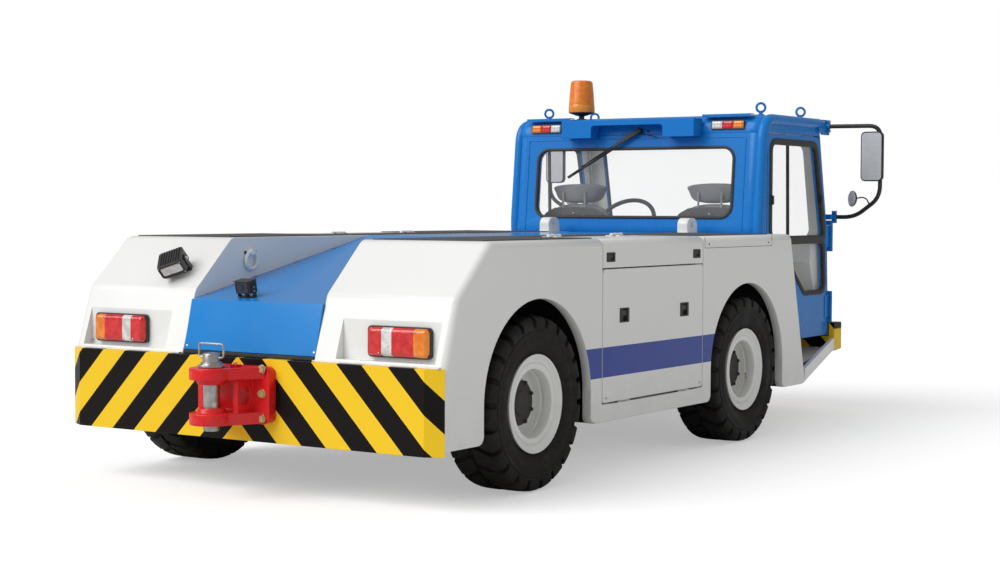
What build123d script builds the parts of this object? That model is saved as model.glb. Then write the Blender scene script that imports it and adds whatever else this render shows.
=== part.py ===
import os
from math import atan2, cos, degrees, pi, radians, sin

from build123d import *

os.makedirs("parts", exist_ok=True)

# Aircraft tow tractor in millimetres. +X is the machine's right, +Y the way it drives, +Z up.
# The origin is on the floor under the middle of the machine.

# The whole machine
overall_length = 5345
rear_jaw_reach = 295
body_width = 2240
centre_bay_width = 800
deck_height = 1175
skirt_height = 270
plate = 12
heavy_plate = 40
seam = 6
overrun = 50
edge_radius = 35
hoop_sides = 16
wire_sides = 8

# Distances ahead of the rear bumper's face
rear_axle_setback = 820
wheelbase = 2240
service_door_rear = 1404
service_door_front = 2485
fender_top_front = 3632
fender_knee_front = 3731
fender_foot_front = 3862
fender_knee_height = 780
fender_foot_height = 280
box_foot = 45
box_crease = 140
box_top = 400
box_crease_height = 930
box_fold_radius = 70

# Bumpers
bumper_top = 630
bumper_bottom = 248
bumper_end_width = 80
front_bumper_half_width = 930
front_bumper_rear = 4760
front_bumper_face = 4880
front_bumper_top = 585
front_bumper_bottom = 410
front_bumper_drop = 80
front_bumper_drop_half_width = 700
jaw_plate_thickness = 54

# Wheels and axles
tyre_radius = 412
tyre_width = 270
tread_half_width = 118
lug_pitches = 22
lug_groove_width = 27
lug_groove_depth = 22
lug_groove_slant = 24
lug_groove_inset = 10
lug_flank_depth = 58
sidewall_radius = 330
rim_radius = 228
rim_lip = 12
rim_width = 245
rim_step = 30
bead_seat_radius = 190
lock_ring_radius = 203
lock_ring_depth = 13
lock_ring_width = 22
ring_bore_radius = 161
barrel_radius = 168
ridge_radius = 162
ridge_depth = 62
ridge_width = 14
disc_thickness = 16
hub_radius = 110
hub_depth = 70
hub_reach = 118
wheel_track = 1950
kingpin_x = 875
kingpin_radius = 30
axle_tube_radius = 72
axle_pad_length = 150
axle_pad_width = 120
axle_pad_x = 500
axle_top = 500
axle_gap = 10
differential_radius = 150
differential_half_width = 110
differential_taper = 60
axle_fork_depth = 45
axle_fork_width = 120
knuckle_height = 140
knuckle_width = 110
running_gap = 6
bearing_gap = 0.3
axle_stub_radius = 45
kingpin_overhang = 6

# Wheel housings
arch_radius = 470
arch_centre_height = 434
arch_lip = 50
housing_radius = 515
housing_inner_x = 600
arch_foot_radius = 42

# Service bay, its door and its lid
door_bottom = 363
door_top = 1024
panel_thickness = 30
bay_inner_x = 640
bay_floor = 400
bay_ledge = 25
lid_inner_x = 700
handle_size = 62
handle_depth = 14
handle_height = 790
handle_inset = 215
latch_width = 60
latch_depth = 8
latch_height = 34
latch_drop = 75
latch_inset = 75
door_corner_radius = 25
service_hinge_places = (1620, 2270)
service_knuckle = 30
door_knuckle_radius = 2.7
lid_knuckle_radius = 8
lid_leaf = 36
lid_leaf_thickness = 4
hinge_play = 0.5

# Frame under the deck
rail_thickness = 36
rail_bottom = 330
rail_top = 620
cab_rail_top = 470
cross_plate = 30
cab_mount_places = (3890, 4640)
cab_mount_length = 80

# Engine cover and the block under it
cover_foot = 55
cover_foot_height = 650
cover_crease = 110
cover_crease_height = 885
cover_deck = 1500
cover_front = 3640
engine_rear = 1720
engine_front = 2720
engine_half_width = 300
engine_bottom = 420
engine_top = 1080
engine_foot_height = 60

# Deck plates
anti_slip_thickness = 5
anti_slip_inner_x = 440
anti_slip_outer_x = 1060
anti_slip_rear = 430
anti_slip_front = 3430

# Tail lamps and rear fittings
lamp_panel_face = 107
lamp_panel_inner_x = 520
lamp_panel_outer_x = 1062
lamp_panel_bottom = 646
tail_lamp_centre_x = 843
tail_lamp_width = 345
tail_lamp_height = 140
tail_lamp_depth = 42
tail_lamp_centre_z = 732
tail_lamp_radius = 18
work_lamp_x = -580
work_lamp_width = 130
work_lamp_height = 120
work_lamp_depth = 75
work_lamp_stem = 30
work_lamp_up_share = 0.31
work_lamp_turn = 28
work_lamp_round = 12
camera_x = -110
camera_width = 92
camera_height = 62
camera_depth = 60
camera_stem = 22
camera_up_share = 0.05

# Rear hitch
hitch_plate_width = 430
hitch_plate_height = 260
hitch_plate_thickness = 50
hitch_centre_z = 470
hitch_ear_radius = 100
hitch_pin_reach = 195
hitch_ear_gap = 150
hitch_web_x = 105
hitch_web_thickness = 26
hitch_web_reach = 152
hitch_web_hole_radius = 42
hitch_boss_radius = 70
hitch_boss_height = 22
hitch_boss_taper = 8
hitch_pin_radius = 38
hitch_pin_clearance = 0.4
pin_cap_radius = 60
pin_cap_height = 26
pin_stub_radius = 40
pin_stub_height = 40
pin_tail = 30
bail_width = 146
bail_height = 62
bail_wire_radius = 5
bail_corner_radius = 14

# Front hitch
front_jaw_half_width = 75
front_jaw_gap = 90
front_jaw_plate = 32
front_jaw_bore_radius = 21
front_hitch_plate_half_width = 150
front_hitch_plate_thickness = 25
front_hitch_centre_z = 465
front_hitch_plate_half_height = 105

# Lugs and tie hooks
lug_centre_x = 490
lug_thickness = 70
lug_length = 130
lug_rise = 92
lug_hole_radius = 20
lug_hole_height = 48
lug_round = 45
lug_setback = 112
hook_setback = 530
hook_drop = 75
hook_ring_radius = 42
hook_wire_radius = 10
hook_stem_length = 14
hook_stem_radius = 15
hook_ring_drop = 38

# Steps beside the cab
step_front = 4760
step_front_half_width = 930
step_front_bottom = 410
step_rear_bottom = 282
step_rim_height = 76
step_rim_width = 26
step_floor_thickness = 14

# Cab
cab_half_width = 886
cab_wall = 45
cab_foot = 3838
cab_waist = 3680
cab_rear_top = 3750
cab_front_top = 4640
cab_front_waist = 4790
cab_front_foot = 4830
cab_bottom = 500
cab_waist_height = 1190
roof_height = 1900
roof_corner_radius = 105
cab_post_radius = 82
cab_kink_radius = 150
side_split_rear = 3805
rear_window_width = 1400
rear_window_height = 432
rear_window_centre_height = 1485
window_radius = 75
glass = 6
windscreen_width = 1500
windscreen_bottom = 1130
windscreen_top = 1775
pedestal_height = 760
pedestal_front = 4330
dash_rear = 4560
dash_top = 1140
dash_foot = 4640
dash_depth = 160
cab_kink_gap = 30

# Cab doors
door_skin = 40
door_rear = 3806
door_head = 1785
door_front_head = 4585
door_front_waist = 4722
door_front_foot = 4745
door_foot = 505
door_foot_rear = 4335
door_notch = 4205
door_notch_height = 800
door_waist_height = 1150
door_round = 35
pane_round = 22
pane_margin = 62
pane_bar_bottom = 1108
pane_bar_top = 1152
pane_foot = 800
pane_foot_rear = 4372
pane_slant_rear = 4195
pane_slant_height = 948
pane_waist_rear = 4040
hinge_y = 4765
hinge_radius = 12
hinge_length = 140
hinge_heights = (620, 1080)
hinge_leaf = 70
hinge_eye = 30
hinge_leaf_thickness = 5
grip_length = 120
grip_y = 3830
grip_depth = 16
grip_width = 26

# Seats and steering
seat_x = 490
seat_width = 480
cushion_length = 450
cushion_thickness = 110
cushion_top = 985
seat_back_y = 3832
seat_back_height = 370
seat_back_thickness = 90
seat_pedestal_width = 360
seat_pedestal_length = 330
seat_shell = 18
seat_gap = 0.3
headrest_width = 400
headrest_height = 110
headrest_gap = 36
rod_radius = 7
rod_spacing = 160
steering_x = -450
steering_y = 4420
steering_z = 1215
steering_radius = 215
steering_rim_radius = 15
steering_tilt = 50
steering_hub_radius = 45
steering_hub_height = 40
spoke_angles = (0, 180, 270)
column_radius = 28

# Roof fittings
header_half_width = 472
header_depth = 120
header_bottom = 1768
header_top = 1880
header_notch_half_width = 255
header_notch_depth = 78
header_notch_radius = 22
header_seat = 2
roof_lamp_x = 650
roof_lamp_width = 226
roof_lamp_height = 58
roof_lamp_z = 1836
roof_lamp_thickness = 12
eye_ring_radius = 27
eye_wire_radius = 8
eye_stem = 22
eye_stem_radius = 11
eye_inset_x = 120
eye_rear_y = 3960
eye_front_y = 4560
eye_foot_radius = 24
eye_foot_height = 8
beacon_x = -470
beacon_y = 3880
beacon_cone_radius = 34
beacon_base_radius = 84
beacon_base_height = 16
beacon_stem_radius = 17
beacon_stem_height = 26
beacon_collar_height = 52
beacon_top_radius = 72
beacon_lens_height = 157
beacon_top_bevel = 9
wiper_pivot_x = 40
wiper_arm_radius = 8
wiper_blade_length = 420
wiper_arm_length = 400
wiper_angle = 207
wiper_stand_off = 26
wiper_blade_gap = 8
wiper_pivot_radius = 18

# Mirrors
arm_radius = 14
arm_upper_z = 1858
arm_lower_z = 1273
arm_root_x = 900
bracket_root_x = 830
arm_upper_y = 4680
arm_lower_y = 4800
mirror_y = 4745
mirror_inner_x = 1112
mirror_outer_x = 1262
mirror_bottom = 1503
mirror_top = 1822
mirror_thickness = 48
mirror_round = 28
arm_elbow_z = 1400
arm_elbow_x = 1238
arm_bend_radius = 40
arm_knee_x = 1046
bracket_height = 90
bracket_length = 130
lower_bracket_length = 42
bracket_thickness = 34
arm_end_gap = 0.3
spot_mirror_radius = 52
spot_mirror_thickness = 16
spot_mirror_x = 1052
spot_mirror_z = 1392
spot_stem_radius = 5

# Head lamps
head_lamp_x = 640
head_lamp_z = 830
head_lamp_radius = 88
head_lamp_depth = 45

# Values worked out from those above
sides = (("left", -1), ("right", 1))
half_width = body_width / 2
bay_half = centre_bay_width / 2
rear_face = rear_jaw_reach - overall_length / 2
wheel_x = wheel_track / 2
rear_axle_y = rear_face + rear_axle_setback
front_axle_y = rear_axle_y + wheelbase
door_hinge_x = half_width - seam / 2
door_hinge_z = door_bottom - seam / 2
lid_hinge_x = lid_inner_x + seam / 2
lid_hinge_z = deck_height + lid_knuckle_radius
axle_places = (("rear", rear_axle_y), ("front", front_axle_y))
across = (1, 0, 0)
along = (0, 1, 0)
upward = (0, 0, 1)


def at(distance):
    return rear_face + distance


def side_points(*pairs):
    return [(at(distance), height) for distance, height in pairs]


def save(piece, name):
    piece.label = name
    export_step(piece, f"parts/{name}.step")


def save_pair(right_piece, name):
    save(right_piece, f"{name}_right")
    save(mirror(right_piece, about=Plane.YZ), f"{name}_left")


def block(low, high, mode=Mode.ADD):
    size = [b - a for a, b in zip(low, high)]
    middle = [(a + b) / 2 for a, b in zip(low, high)]
    with Locations(tuple(middle)):
        Box(*size, mode=mode)


def rod(start, radius, length, direction, mode=Mode.ADD):
    with Locations(Plane(origin=start, z_dir=direction)):
        Cylinder(radius, length, align=(Align.CENTER, Align.CENTER, Align.MIN), mode=mode)


def prism(outline, plane, depth, mode=Mode.ADD, rounding=0):
    with BuildSketch(plane) as profile:
        with BuildLine():
            Polyline(*outline, close=True)
        make_face()
        if rounding > 0:
            fillet(profile.vertices(), rounding)
    extrude(profile.sketch, amount=depth, mode=mode)


def hoop(place, direction, ring_radius, wire_radius):
    ring_plane = Plane(origin=place, z_dir=direction)
    with BuildLine(ring_plane) as route:
        corners = [
            (ring_radius * cos(2 * pi * (n + 1 / 2) / hoop_sides), ring_radius * sin(2 * pi * (n + 1 / 2) / hoop_sides))
            for n in range(hoop_sides)
        ]
        start = ((corners[0][0] + corners[-1][0]) / 2, 0)
        Polyline(start, *corners, start)
    with BuildSketch(Plane(origin=route.wire() @ 0, z_dir=route.wire() % 0)) as section:
        RegularPolygon(wire_radius, wire_sides)
    sweep(section.sketch, path=route.wire(), transition=Transition.RIGHT)


def tube(points, bend_radius, radius):
    with BuildLine() as route:
        FilletPolyline(*points, radius=bend_radius)
    with BuildSketch(Plane(origin=route.wire() @ 0, z_dir=route.wire() % 0)) as section:
        RegularPolygon(radius, wire_sides)
    sweep(section.sketch, path=route.wire())


# Side bodies: sloping box at the rear, flat deck, wheel arches and the fender in front
with BuildPart() as body:
    with BuildSketch(Plane.YZ.offset(bay_half)) as outline:
        with BuildLine():
            Polyline(
                *side_points(
                    (box_foot, skirt_height),
                    (box_foot, bumper_top),
                    (box_crease, box_crease_height),
                    (box_top, deck_height),
                    (fender_top_front, deck_height),
                    (fender_knee_front, fender_knee_height),
                    (fender_foot_front, fender_foot_height),
                    (fender_foot_front - edge_radius, skirt_height),
                ),
                close=True,
            )
        make_face()
        folds = [v for v in outline.vertices() if v.X < at(box_top + overrun) and v.Y > bumper_top + overrun]
        fillet(folds, box_fold_radius)
    extrude(amount=half_width - bay_half)
    outer_edges = [
        e
        for e in body.edges()
        if abs(e.center().X - half_width) < seam and e.center().Z > bumper_top and e.center().Y < at(fender_top_front)
    ]
    fillet(outer_edges, edge_radius)
    # wheel arches: a narrow lip in the skin and a wider housing behind it
    for _, axle_y in axle_places:
        for radius, x_from, x_to in (
            (arch_radius, half_width - arch_lip, half_width + overrun),
            (housing_radius, housing_inner_x, half_width - arch_lip),
        ):
            with BuildSketch(Plane.YZ.offset(x_from)) as opening:
                with Locations((axle_y, arch_centre_height)):
                    Circle(radius)
                with Locations((axle_y, arch_centre_height)):
                    Rectangle(2 * radius, 2 * arch_centre_height, align=(Align.CENTER, Align.MAX))
            extrude(opening.sketch, amount=x_to - x_from, mode=Mode.SUBTRACT)
        # the slot that the axle passes through
        pad_half = axle_pad_length / 2
        block(
            (bay_half - overrun, axle_y - pad_half - axle_gap, skirt_height - overrun),
            (housing_inner_x + overrun, axle_y + pad_half + axle_gap, axle_top),
            mode=Mode.SUBTRACT,
        )
    # round the skirt's lower corners beside each arch
    feet = [
        e
        for e in body.edges().filter_by(Axis.X)
        if e.center().Z < fender_foot_height and e.center().X > half_width - arch_lip
        and min(abs(abs(e.center().Y - y) - arch_radius) for _, y in axle_places) < seam
    ]
    fillet(feet, arch_foot_radius)
    # service bay behind the door and under the lid
    block(
        (bay_inner_x, at(service_door_rear) + bay_ledge, bay_floor),
        (half_width - panel_thickness, at(service_door_front) - bay_ledge, deck_height - panel_thickness),
        mode=Mode.SUBTRACT,
    )
    block(
        (half_width - panel_thickness, at(service_door_rear) - seam, door_bottom - seam),
        (half_width + overrun, at(service_door_front) + seam, deck_height + overrun),
        mode=Mode.SUBTRACT,
    )
    block(
        (lid_inner_x, at(service_door_rear) - seam, deck_height - panel_thickness),
        (half_width + overrun, at(service_door_front) + seam, deck_height + overrun),
        mode=Mode.SUBTRACT,
    )
    # recessed lamp panel: upright face, triangular cheeks and a ledge under it
    block(
        (lamp_panel_inner_x, at(0), lamp_panel_bottom),
        (lamp_panel_outer_x, at(lamp_panel_face), box_crease_height),
        mode=Mode.SUBTRACT,
    )
    # fixed knuckles of the door's and the lid's hinges
    for hinge_middle in service_hinge_places:
        for end in (-1, 1):
            y = at(hinge_middle) + end * (service_knuckle + hinge_play)
            knuckle_low, knuckle_high = sorted((y, y + end * service_knuckle))
            rod((door_hinge_x, knuckle_low, door_hinge_z), door_knuckle_radius, service_knuckle, along)
            block(
                (door_hinge_x - door_knuckle_radius, knuckle_low, door_hinge_z - seam / 2),
                (door_hinge_x + door_knuckle_radius, knuckle_high, door_hinge_z),
            )
            rod((lid_hinge_x, knuckle_low, lid_hinge_z), lid_knuckle_radius, service_knuckle, along)
            block(
                (lid_hinge_x - lid_leaf, knuckle_low, deck_height),
                (lid_hinge_x, knuckle_high, deck_height + lid_leaf_thickness),
            )
save_pair(body.part, "body")

# Service door: flat drop-down panel with two recessed handles
with BuildPart() as service_door:
    block(
        (half_width - panel_thickness, at(service_door_rear), door_bottom),
        (half_width, at(service_door_front), door_top),
    )
    fillet(service_door.edges().filter_by(Axis.X), door_corner_radius)
    for handle_y in (at(service_door_rear) + handle_inset, at(service_door_front) - handle_inset):
        block(
            (half_width - handle_depth, handle_y - handle_size / 2, handle_height - handle_size / 2),
            (half_width + overrun, handle_y + handle_size / 2, handle_height + handle_size / 2),
            mode=Mode.SUBTRACT,
        )
    for hinge_middle in service_hinge_places:
        start = at(hinge_middle) - service_knuckle
        rod((door_hinge_x, start, door_hinge_z), door_knuckle_radius, 2 * service_knuckle, along)
        block(
            (door_hinge_x - door_knuckle_radius, start, door_hinge_z),
            (door_hinge_x + door_knuckle_radius, start + 2 * service_knuckle, door_bottom),
        )
save_pair(service_door.part, "service_door")

# Service lid: an angle that wraps over the deck's rounded edge
with BuildPart() as service_lid:
    with BuildSketch(Plane.XZ.offset(-at(service_door_rear))) as lid_section:
        with BuildLine():
            Polyline(
                (lid_inner_x + seam, deck_height),
                (half_width, deck_height),
                (half_width, door_top + seam),
                (half_width - panel_thickness, door_top + seam),
                (half_width - panel_thickness, deck_height - panel_thickness),
                (lid_inner_x + seam, deck_height - panel_thickness),
                close=True,
            )
        make_face()
        fillet(lid_section.vertices().group_by(Axis.X)[-1].sort_by(Axis.Y)[-1:], edge_radius)
    extrude(amount=-(service_door_front - service_door_rear))
    for latch_y in (at(service_door_rear) + latch_inset, at(service_door_front) - latch_inset):
        block(
            (half_width - latch_depth, latch_y - latch_width / 2, deck_height - latch_drop - latch_height),
            (half_width + overrun, latch_y + latch_width / 2, deck_height - latch_drop),
            mode=Mode.SUBTRACT,
        )
    for hinge_middle in service_hinge_places:
        start = at(hinge_middle) - service_knuckle
        rod((lid_hinge_x, start, lid_hinge_z), lid_knuckle_radius, 2 * service_knuckle, along)
        block(
            (lid_hinge_x, start, deck_height),
            (lid_hinge_x + lid_leaf, start + 2 * service_knuckle, deck_height + lid_leaf_thickness),
        )
save_pair(service_lid.part, "service_lid")

# Chassis frame: two rails with the cab's mounts, and the plates that tie them together
rail_outline = side_points(
    (box_foot, skirt_height),
    (box_foot, bumper_top),
    (fender_top_front, rail_top),
    (cab_foot, cab_rail_top),
    (front_bumper_rear, cab_rail_top),
    (front_bumper_rear, rail_bottom),
    (rear_axle_setback + axle_pad_length, rail_bottom),
    (box_foot + heavy_plate, skirt_height),
)
cross_places = (box_foot, service_door_rear - overrun, fender_top_front - overrun, front_bumper_rear - cross_plate)
axle_slot_half = axle_pad_length / 2 + axle_gap
with BuildPart() as frame_rails:
    for start in (-bay_half, bay_half - rail_thickness):
        prism(rail_outline, Plane.YZ.offset(start), rail_thickness)
        for place in cab_mount_places:
            block(
                (start, at(place), cab_rail_top),
                (start + rail_thickness, at(place) + cab_mount_length, cab_bottom),
            )
    for _, axle_y in axle_places:
        block(
            (-bay_half, axle_y - axle_slot_half, skirt_height - overrun),
            (bay_half, axle_y + axle_slot_half, axle_top),
            mode=Mode.SUBTRACT,
        )
save(frame_rails.part, "frame_rails")

rail_inner_x = bay_half - rail_thickness
with BuildPart() as cross_plates:
    for number, place in enumerate(cross_places):
        top = bumper_top if number == 0 else cab_rail_top
        block((-rail_inner_x, at(place), rail_bottom), (rail_inner_x, at(place) + cross_plate, top))
save(cross_plates.part, "cross_plates")

# Rear bumper: full-width plate with swept ends
with BuildPart() as rear_bumper:
    end_x = half_width - bumper_end_width
    prism(
        [(-half_width, at(box_foot)), (-end_x, at(0)), (end_x, at(0)), (half_width, at(box_foot))],
        Plane.XY.offset(bumper_bottom),
        bumper_top - bumper_bottom,
    )
save(rear_bumper.part, "rear_bumper")

# Front bumper: dropped in the middle, swept ends
with BuildPart() as front_bumper:
    low_half = front_bumper_drop_half_width
    wide = front_bumper_half_width
    prism(
        [
            (-wide, front_bumper_bottom),
            (-low_half, front_bumper_bottom - front_bumper_drop),
            (low_half, front_bumper_bottom - front_bumper_drop),
            (wide, front_bumper_bottom),
            (wide, front_bumper_top),
            (-wide, front_bumper_top),
        ],
        Plane.XZ.offset(-at(front_bumper_rear)),
        -(front_bumper_face - front_bumper_rear),
    )
    block(
        (-cab_half_width - seam, at(front_bumper_rear) - overrun, cab_bottom - running_gap),
        (cab_half_width + seam, at(cab_front_foot), front_bumper_top + overrun),
        mode=Mode.SUBTRACT,
    )
save(front_bumper.part, "front_bumper")

# Engine cover: one folded plate between the side bodies
cover_outer = side_points(
    (cover_foot, cover_foot_height),
    (cover_crease, cover_crease_height),
    (cover_deck, deck_height),
    (cover_front, deck_height),
)
with BuildPart() as engine_cover:
    with BuildSketch(Plane.YZ.offset(-bay_half)):
        with BuildLine():
            fold_line = Polyline(*cover_outer)
            offset(fold_line, amount=plate, side=Side.RIGHT)
        make_face()
    extrude(amount=centre_bay_width)
save(engine_cover.part, "engine_cover")

# Engine: plain block on two feet that rest on the rails
with BuildPart() as engine_block:
    block(
        (-engine_half_width, at(engine_rear), engine_bottom),
        (engine_half_width, at(engine_front), engine_top),
    )
    for place in (engine_rear + engine_foot_height, engine_front - 2 * engine_foot_height):
        block(
            (-bay_half, at(place), rail_top + engine_foot_height),
            (bay_half, at(place) + engine_foot_height, rail_top + 2 * engine_foot_height),
        )
save(engine_block.part, "engine_block")

# Anti-slip plates on the fixed parts of the deck
deck_strips = (  # rear end, front end, inner x, outer x
    (anti_slip_rear, service_door_rear - 2 * seam, anti_slip_inner_x, anti_slip_outer_x),
    (service_door_rear + seam, service_door_front - seam, anti_slip_inner_x, lid_hinge_x - lid_leaf - seam),
    (service_door_front + 2 * seam, anti_slip_front, anti_slip_inner_x, anti_slip_outer_x),
)
with BuildPart() as deck_plates:
    for rear_end, front_end, inner_x, outer_x in deck_strips:
        for _, sign in sides:
            xs = sorted((sign * inner_x, sign * outer_x))
            block(
                (xs[0], at(rear_end), deck_height),
                (xs[1], at(front_end), deck_height + anti_slip_thickness),
            )
save(deck_plates.part, "deck_plates")

# Rear hitch: back plate, two ears with bosses and two pierced webs
hitch_back = at(0)
hitch_face = at(-hitch_plate_thickness)
pin_y = at(-hitch_pin_reach)
ear_places = (
    hitch_centre_z + hitch_ear_gap / 2,
    hitch_centre_z - hitch_ear_gap / 2 - jaw_plate_thickness,
)
with BuildPart() as rear_hitch:
    half_plate = hitch_plate_width / 2
    block(
        (-half_plate, hitch_face, hitch_centre_z - hitch_plate_height / 2),
        (half_plate, hitch_back, hitch_centre_z + hitch_plate_height / 2),
    )
    fillet(rear_hitch.edges().filter_by(Axis.Y), edge_radius)
    for ear_z in ear_places:
        with BuildSketch(Plane.XY.offset(ear_z)) as ear:
            with BuildLine():
                Polyline(
                    (-half_plate + edge_radius, hitch_face),
                    (half_plate - edge_radius, hitch_face),
                    (hitch_ear_radius, pin_y),
                    (-hitch_ear_radius, pin_y),
                    close=True,
                )
            make_face()
            with Locations((0, pin_y)):
                Circle(hitch_ear_radius)
        extrude(ear.sketch, amount=jaw_plate_thickness)
    for _, sign in sides:
        web_x = sign * hitch_web_x
        block(
            (web_x - hitch_web_thickness / 2, at(-hitch_web_reach), ear_places[1] + jaw_plate_thickness),
            (web_x + hitch_web_thickness / 2, hitch_face, ear_places[0]),
        )
    web_y = (at(-hitch_web_reach) + hitch_face) / 2
    rod((-half_plate, web_y, hitch_centre_z), hitch_web_hole_radius, hitch_plate_width, across, Mode.SUBTRACT)
    for boss_z, direction in ((ear_places[0], (0, 0, -1)), (ear_places[1] + jaw_plate_thickness, upward)):
        with Locations(Plane(origin=(0, pin_y, boss_z), z_dir=direction)):
            Cone(
                hitch_boss_radius,
                hitch_boss_radius - hitch_boss_taper,
                hitch_boss_height,
                align=(Align.CENTER, Align.CENTER, Align.MIN),
            )
    rod(
        (0, pin_y, ear_places[1] - overrun),
        hitch_pin_radius + hitch_pin_clearance,
        hitch_plate_height + 2 * overrun,
        upward,
        Mode.SUBTRACT,
    )
save(rear_hitch.part, "rear_hitch")

# Hitch pin: shank, flange cap that rests on the upper ear, stub and wire bail
ear_top = ear_places[0] + jaw_plate_thickness
with BuildPart() as hitch_pin:
    shank_bottom = ear_places[1] - pin_tail
    rod((0, pin_y, shank_bottom), hitch_pin_radius, ear_top - shank_bottom, upward)
    rod((0, pin_y, ear_top), pin_cap_radius, pin_cap_height, upward)
    rod((0, pin_y, ear_top + pin_cap_height), pin_stub_radius, pin_stub_height, upward)
    bail_foot = ear_top + pin_cap_height + pin_stub_height / 2
    tube(
        [
            (0, pin_y, bail_foot),
            (-bail_width / 2, pin_y, bail_foot),
            (-bail_width / 2, pin_y, bail_foot + bail_height),
            (bail_width / 2, pin_y, bail_foot + bail_height),
            (bail_width / 2, pin_y, bail_foot),
            (pin_stub_radius - bail_wire_radius, pin_y, bail_foot),
        ],
        bail_corner_radius,
        bail_wire_radius,
    )
save(hitch_pin.part, "hitch_pin")

# Front hitch: back plate and a two-plate jaw with a bore through both plates
jaw_face = at(front_bumper_face) + front_hitch_plate_thickness
jaw_pin_y = overall_length / 2 - front_jaw_half_width
with BuildPart() as front_hitch:
    block(
        (-front_hitch_plate_half_width, at(front_bumper_face), front_hitch_centre_z - front_hitch_plate_half_height),
        (front_hitch_plate_half_width, jaw_face, front_hitch_centre_z + front_hitch_plate_half_height),
    )
    for jaw_z in (
        front_hitch_centre_z + front_jaw_gap / 2,
        front_hitch_centre_z - front_jaw_gap / 2 - front_jaw_plate,
    ):
        with BuildSketch(Plane.XY.offset(jaw_z)) as jaw:
            with BuildLine():
                Polyline(
                    (-front_hitch_plate_half_width + edge_radius, jaw_face),
                    (front_hitch_plate_half_width - edge_radius, jaw_face),
                    (front_jaw_half_width, jaw_pin_y),
                    (-front_jaw_half_width, jaw_pin_y),
                    close=True,
                )
            make_face()
            with Locations((0, jaw_pin_y)):
                Circle(front_jaw_half_width)
            with Locations((0, jaw_pin_y)):
                Circle(front_jaw_bore_radius, mode=Mode.SUBTRACT)
        extrude(jaw.sketch, amount=front_jaw_plate)
save(front_hitch.part, "front_hitch")

# Tail lamps on the upright lamp panels
with BuildPart() as tail_lamps:
    for _, sign in sides:
        middle = sign * tail_lamp_centre_x
        with BuildSketch(Plane.XZ.offset(-at(lamp_panel_face))) as lens:
            with Locations((middle, tail_lamp_centre_z)):
                RectangleRounded(tail_lamp_width, tail_lamp_height, tail_lamp_radius)
        extrude(lens.sketch, amount=tail_lamp_depth)
save(tail_lamps.part, "tail_lamps")

# Work lamp on the left box's upper slope
slope_angle = degrees(atan2(deck_height - box_crease_height, box_top - box_crease))
slope_plane = Plane(
    origin=(work_lamp_x, at(box_crease), box_crease_height),
    x_dir=across,
    z_dir=(0, -sin(radians(slope_angle)), cos(radians(slope_angle))),
)
slope_length = (deck_height - box_crease_height) / sin(radians(slope_angle))
with BuildPart() as work_lamp:
    with BuildSketch(slope_plane) as stem:
        with Locations((0, slope_length * work_lamp_up_share)):
            Circle(work_lamp_stem / 2)
    extrude(stem.sketch, amount=work_lamp_stem)
    with BuildSketch(slope_plane.offset(work_lamp_stem)) as case:
        with Locations(Location((0, slope_length * work_lamp_up_share), work_lamp_turn)):
            RectangleRounded(work_lamp_width, work_lamp_height, work_lamp_round)
    extrude(case.sketch, amount=work_lamp_depth)
save(work_lamp.part, "work_lamp")

# Reversing camera on the engine cover, just above its crease
cover_angle = degrees(atan2(deck_height - cover_crease_height, cover_deck - cover_crease))
cover_slope_length = (cover_deck - cover_crease) / cos(radians(cover_angle))
camera_plane = Plane(
    origin=(camera_x, at(cover_crease), cover_crease_height),
    x_dir=across,
    z_dir=(0, -sin(radians(cover_angle)), cos(radians(cover_angle))),
)
with BuildPart() as rear_camera:
    for size_x, size_y, lift, rise in (
        (camera_width / 3, camera_depth / 3, 0, camera_stem),
        (camera_width, camera_depth, camera_stem, camera_height),
    ):
        with BuildSketch(camera_plane.offset(lift)) as layer:
            with Locations((0, cover_slope_length * camera_up_share)):
                Rectangle(size_x, size_y)
        extrude(layer.sketch, amount=rise)
save(rear_camera.part, "rear_camera")

# Lifting lugs on the deck, just behind the cab
lug_y = at(fender_top_front) - lug_setback
with BuildPart() as lifting_lugs:
    for _, sign in sides:
        start = sign * lug_centre_x - lug_thickness / 2
        with BuildSketch(Plane.YZ.offset(start)) as lug:
            with Locations((lug_y, deck_height)):
                Rectangle(lug_length, lug_rise, align=(Align.CENTER, Align.MIN))
            fillet(lug.vertices().group_by(Axis.Y)[-1], lug_round)
            with Locations((lug_y, deck_height + lug_hole_height)):
                Circle(lug_hole_radius, mode=Mode.SUBTRACT)
        extrude(lug.sketch, amount=lug_thickness)
save(lifting_lugs.part, "lifting_lugs")

# Tie hooks on the inner walls of the boxes
hook_height = deck_height - hook_drop
with BuildPart() as tie_hooks:
    for _, sign in sides:
        stem_length = hook_stem_length + hook_wire_radius
        rod((sign * bay_half, at(hook_setback), hook_height), hook_stem_radius, stem_length, (-sign, 0, 0))
        ring_x = sign * (bay_half - hook_stem_length)
        hoop((ring_x, at(hook_setback), hook_height - hook_ring_drop), across, hook_ring_radius, hook_wire_radius)
save(tie_hooks.part, "tie_hooks")

# Steps beside the cab: a rising tray with a raised outer rim that tapers to the bumper
step_rise = (step_front_bottom - step_rear_bottom) / (step_front - fender_foot_front)


def step_plan(inset):
    return [
        (bay_half, at(fender_foot_front)),
        (half_width - inset, at(fender_foot_front)),
        (step_front_half_width - inset, at(step_front)),
        (bay_half, at(step_front)),
    ]


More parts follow.
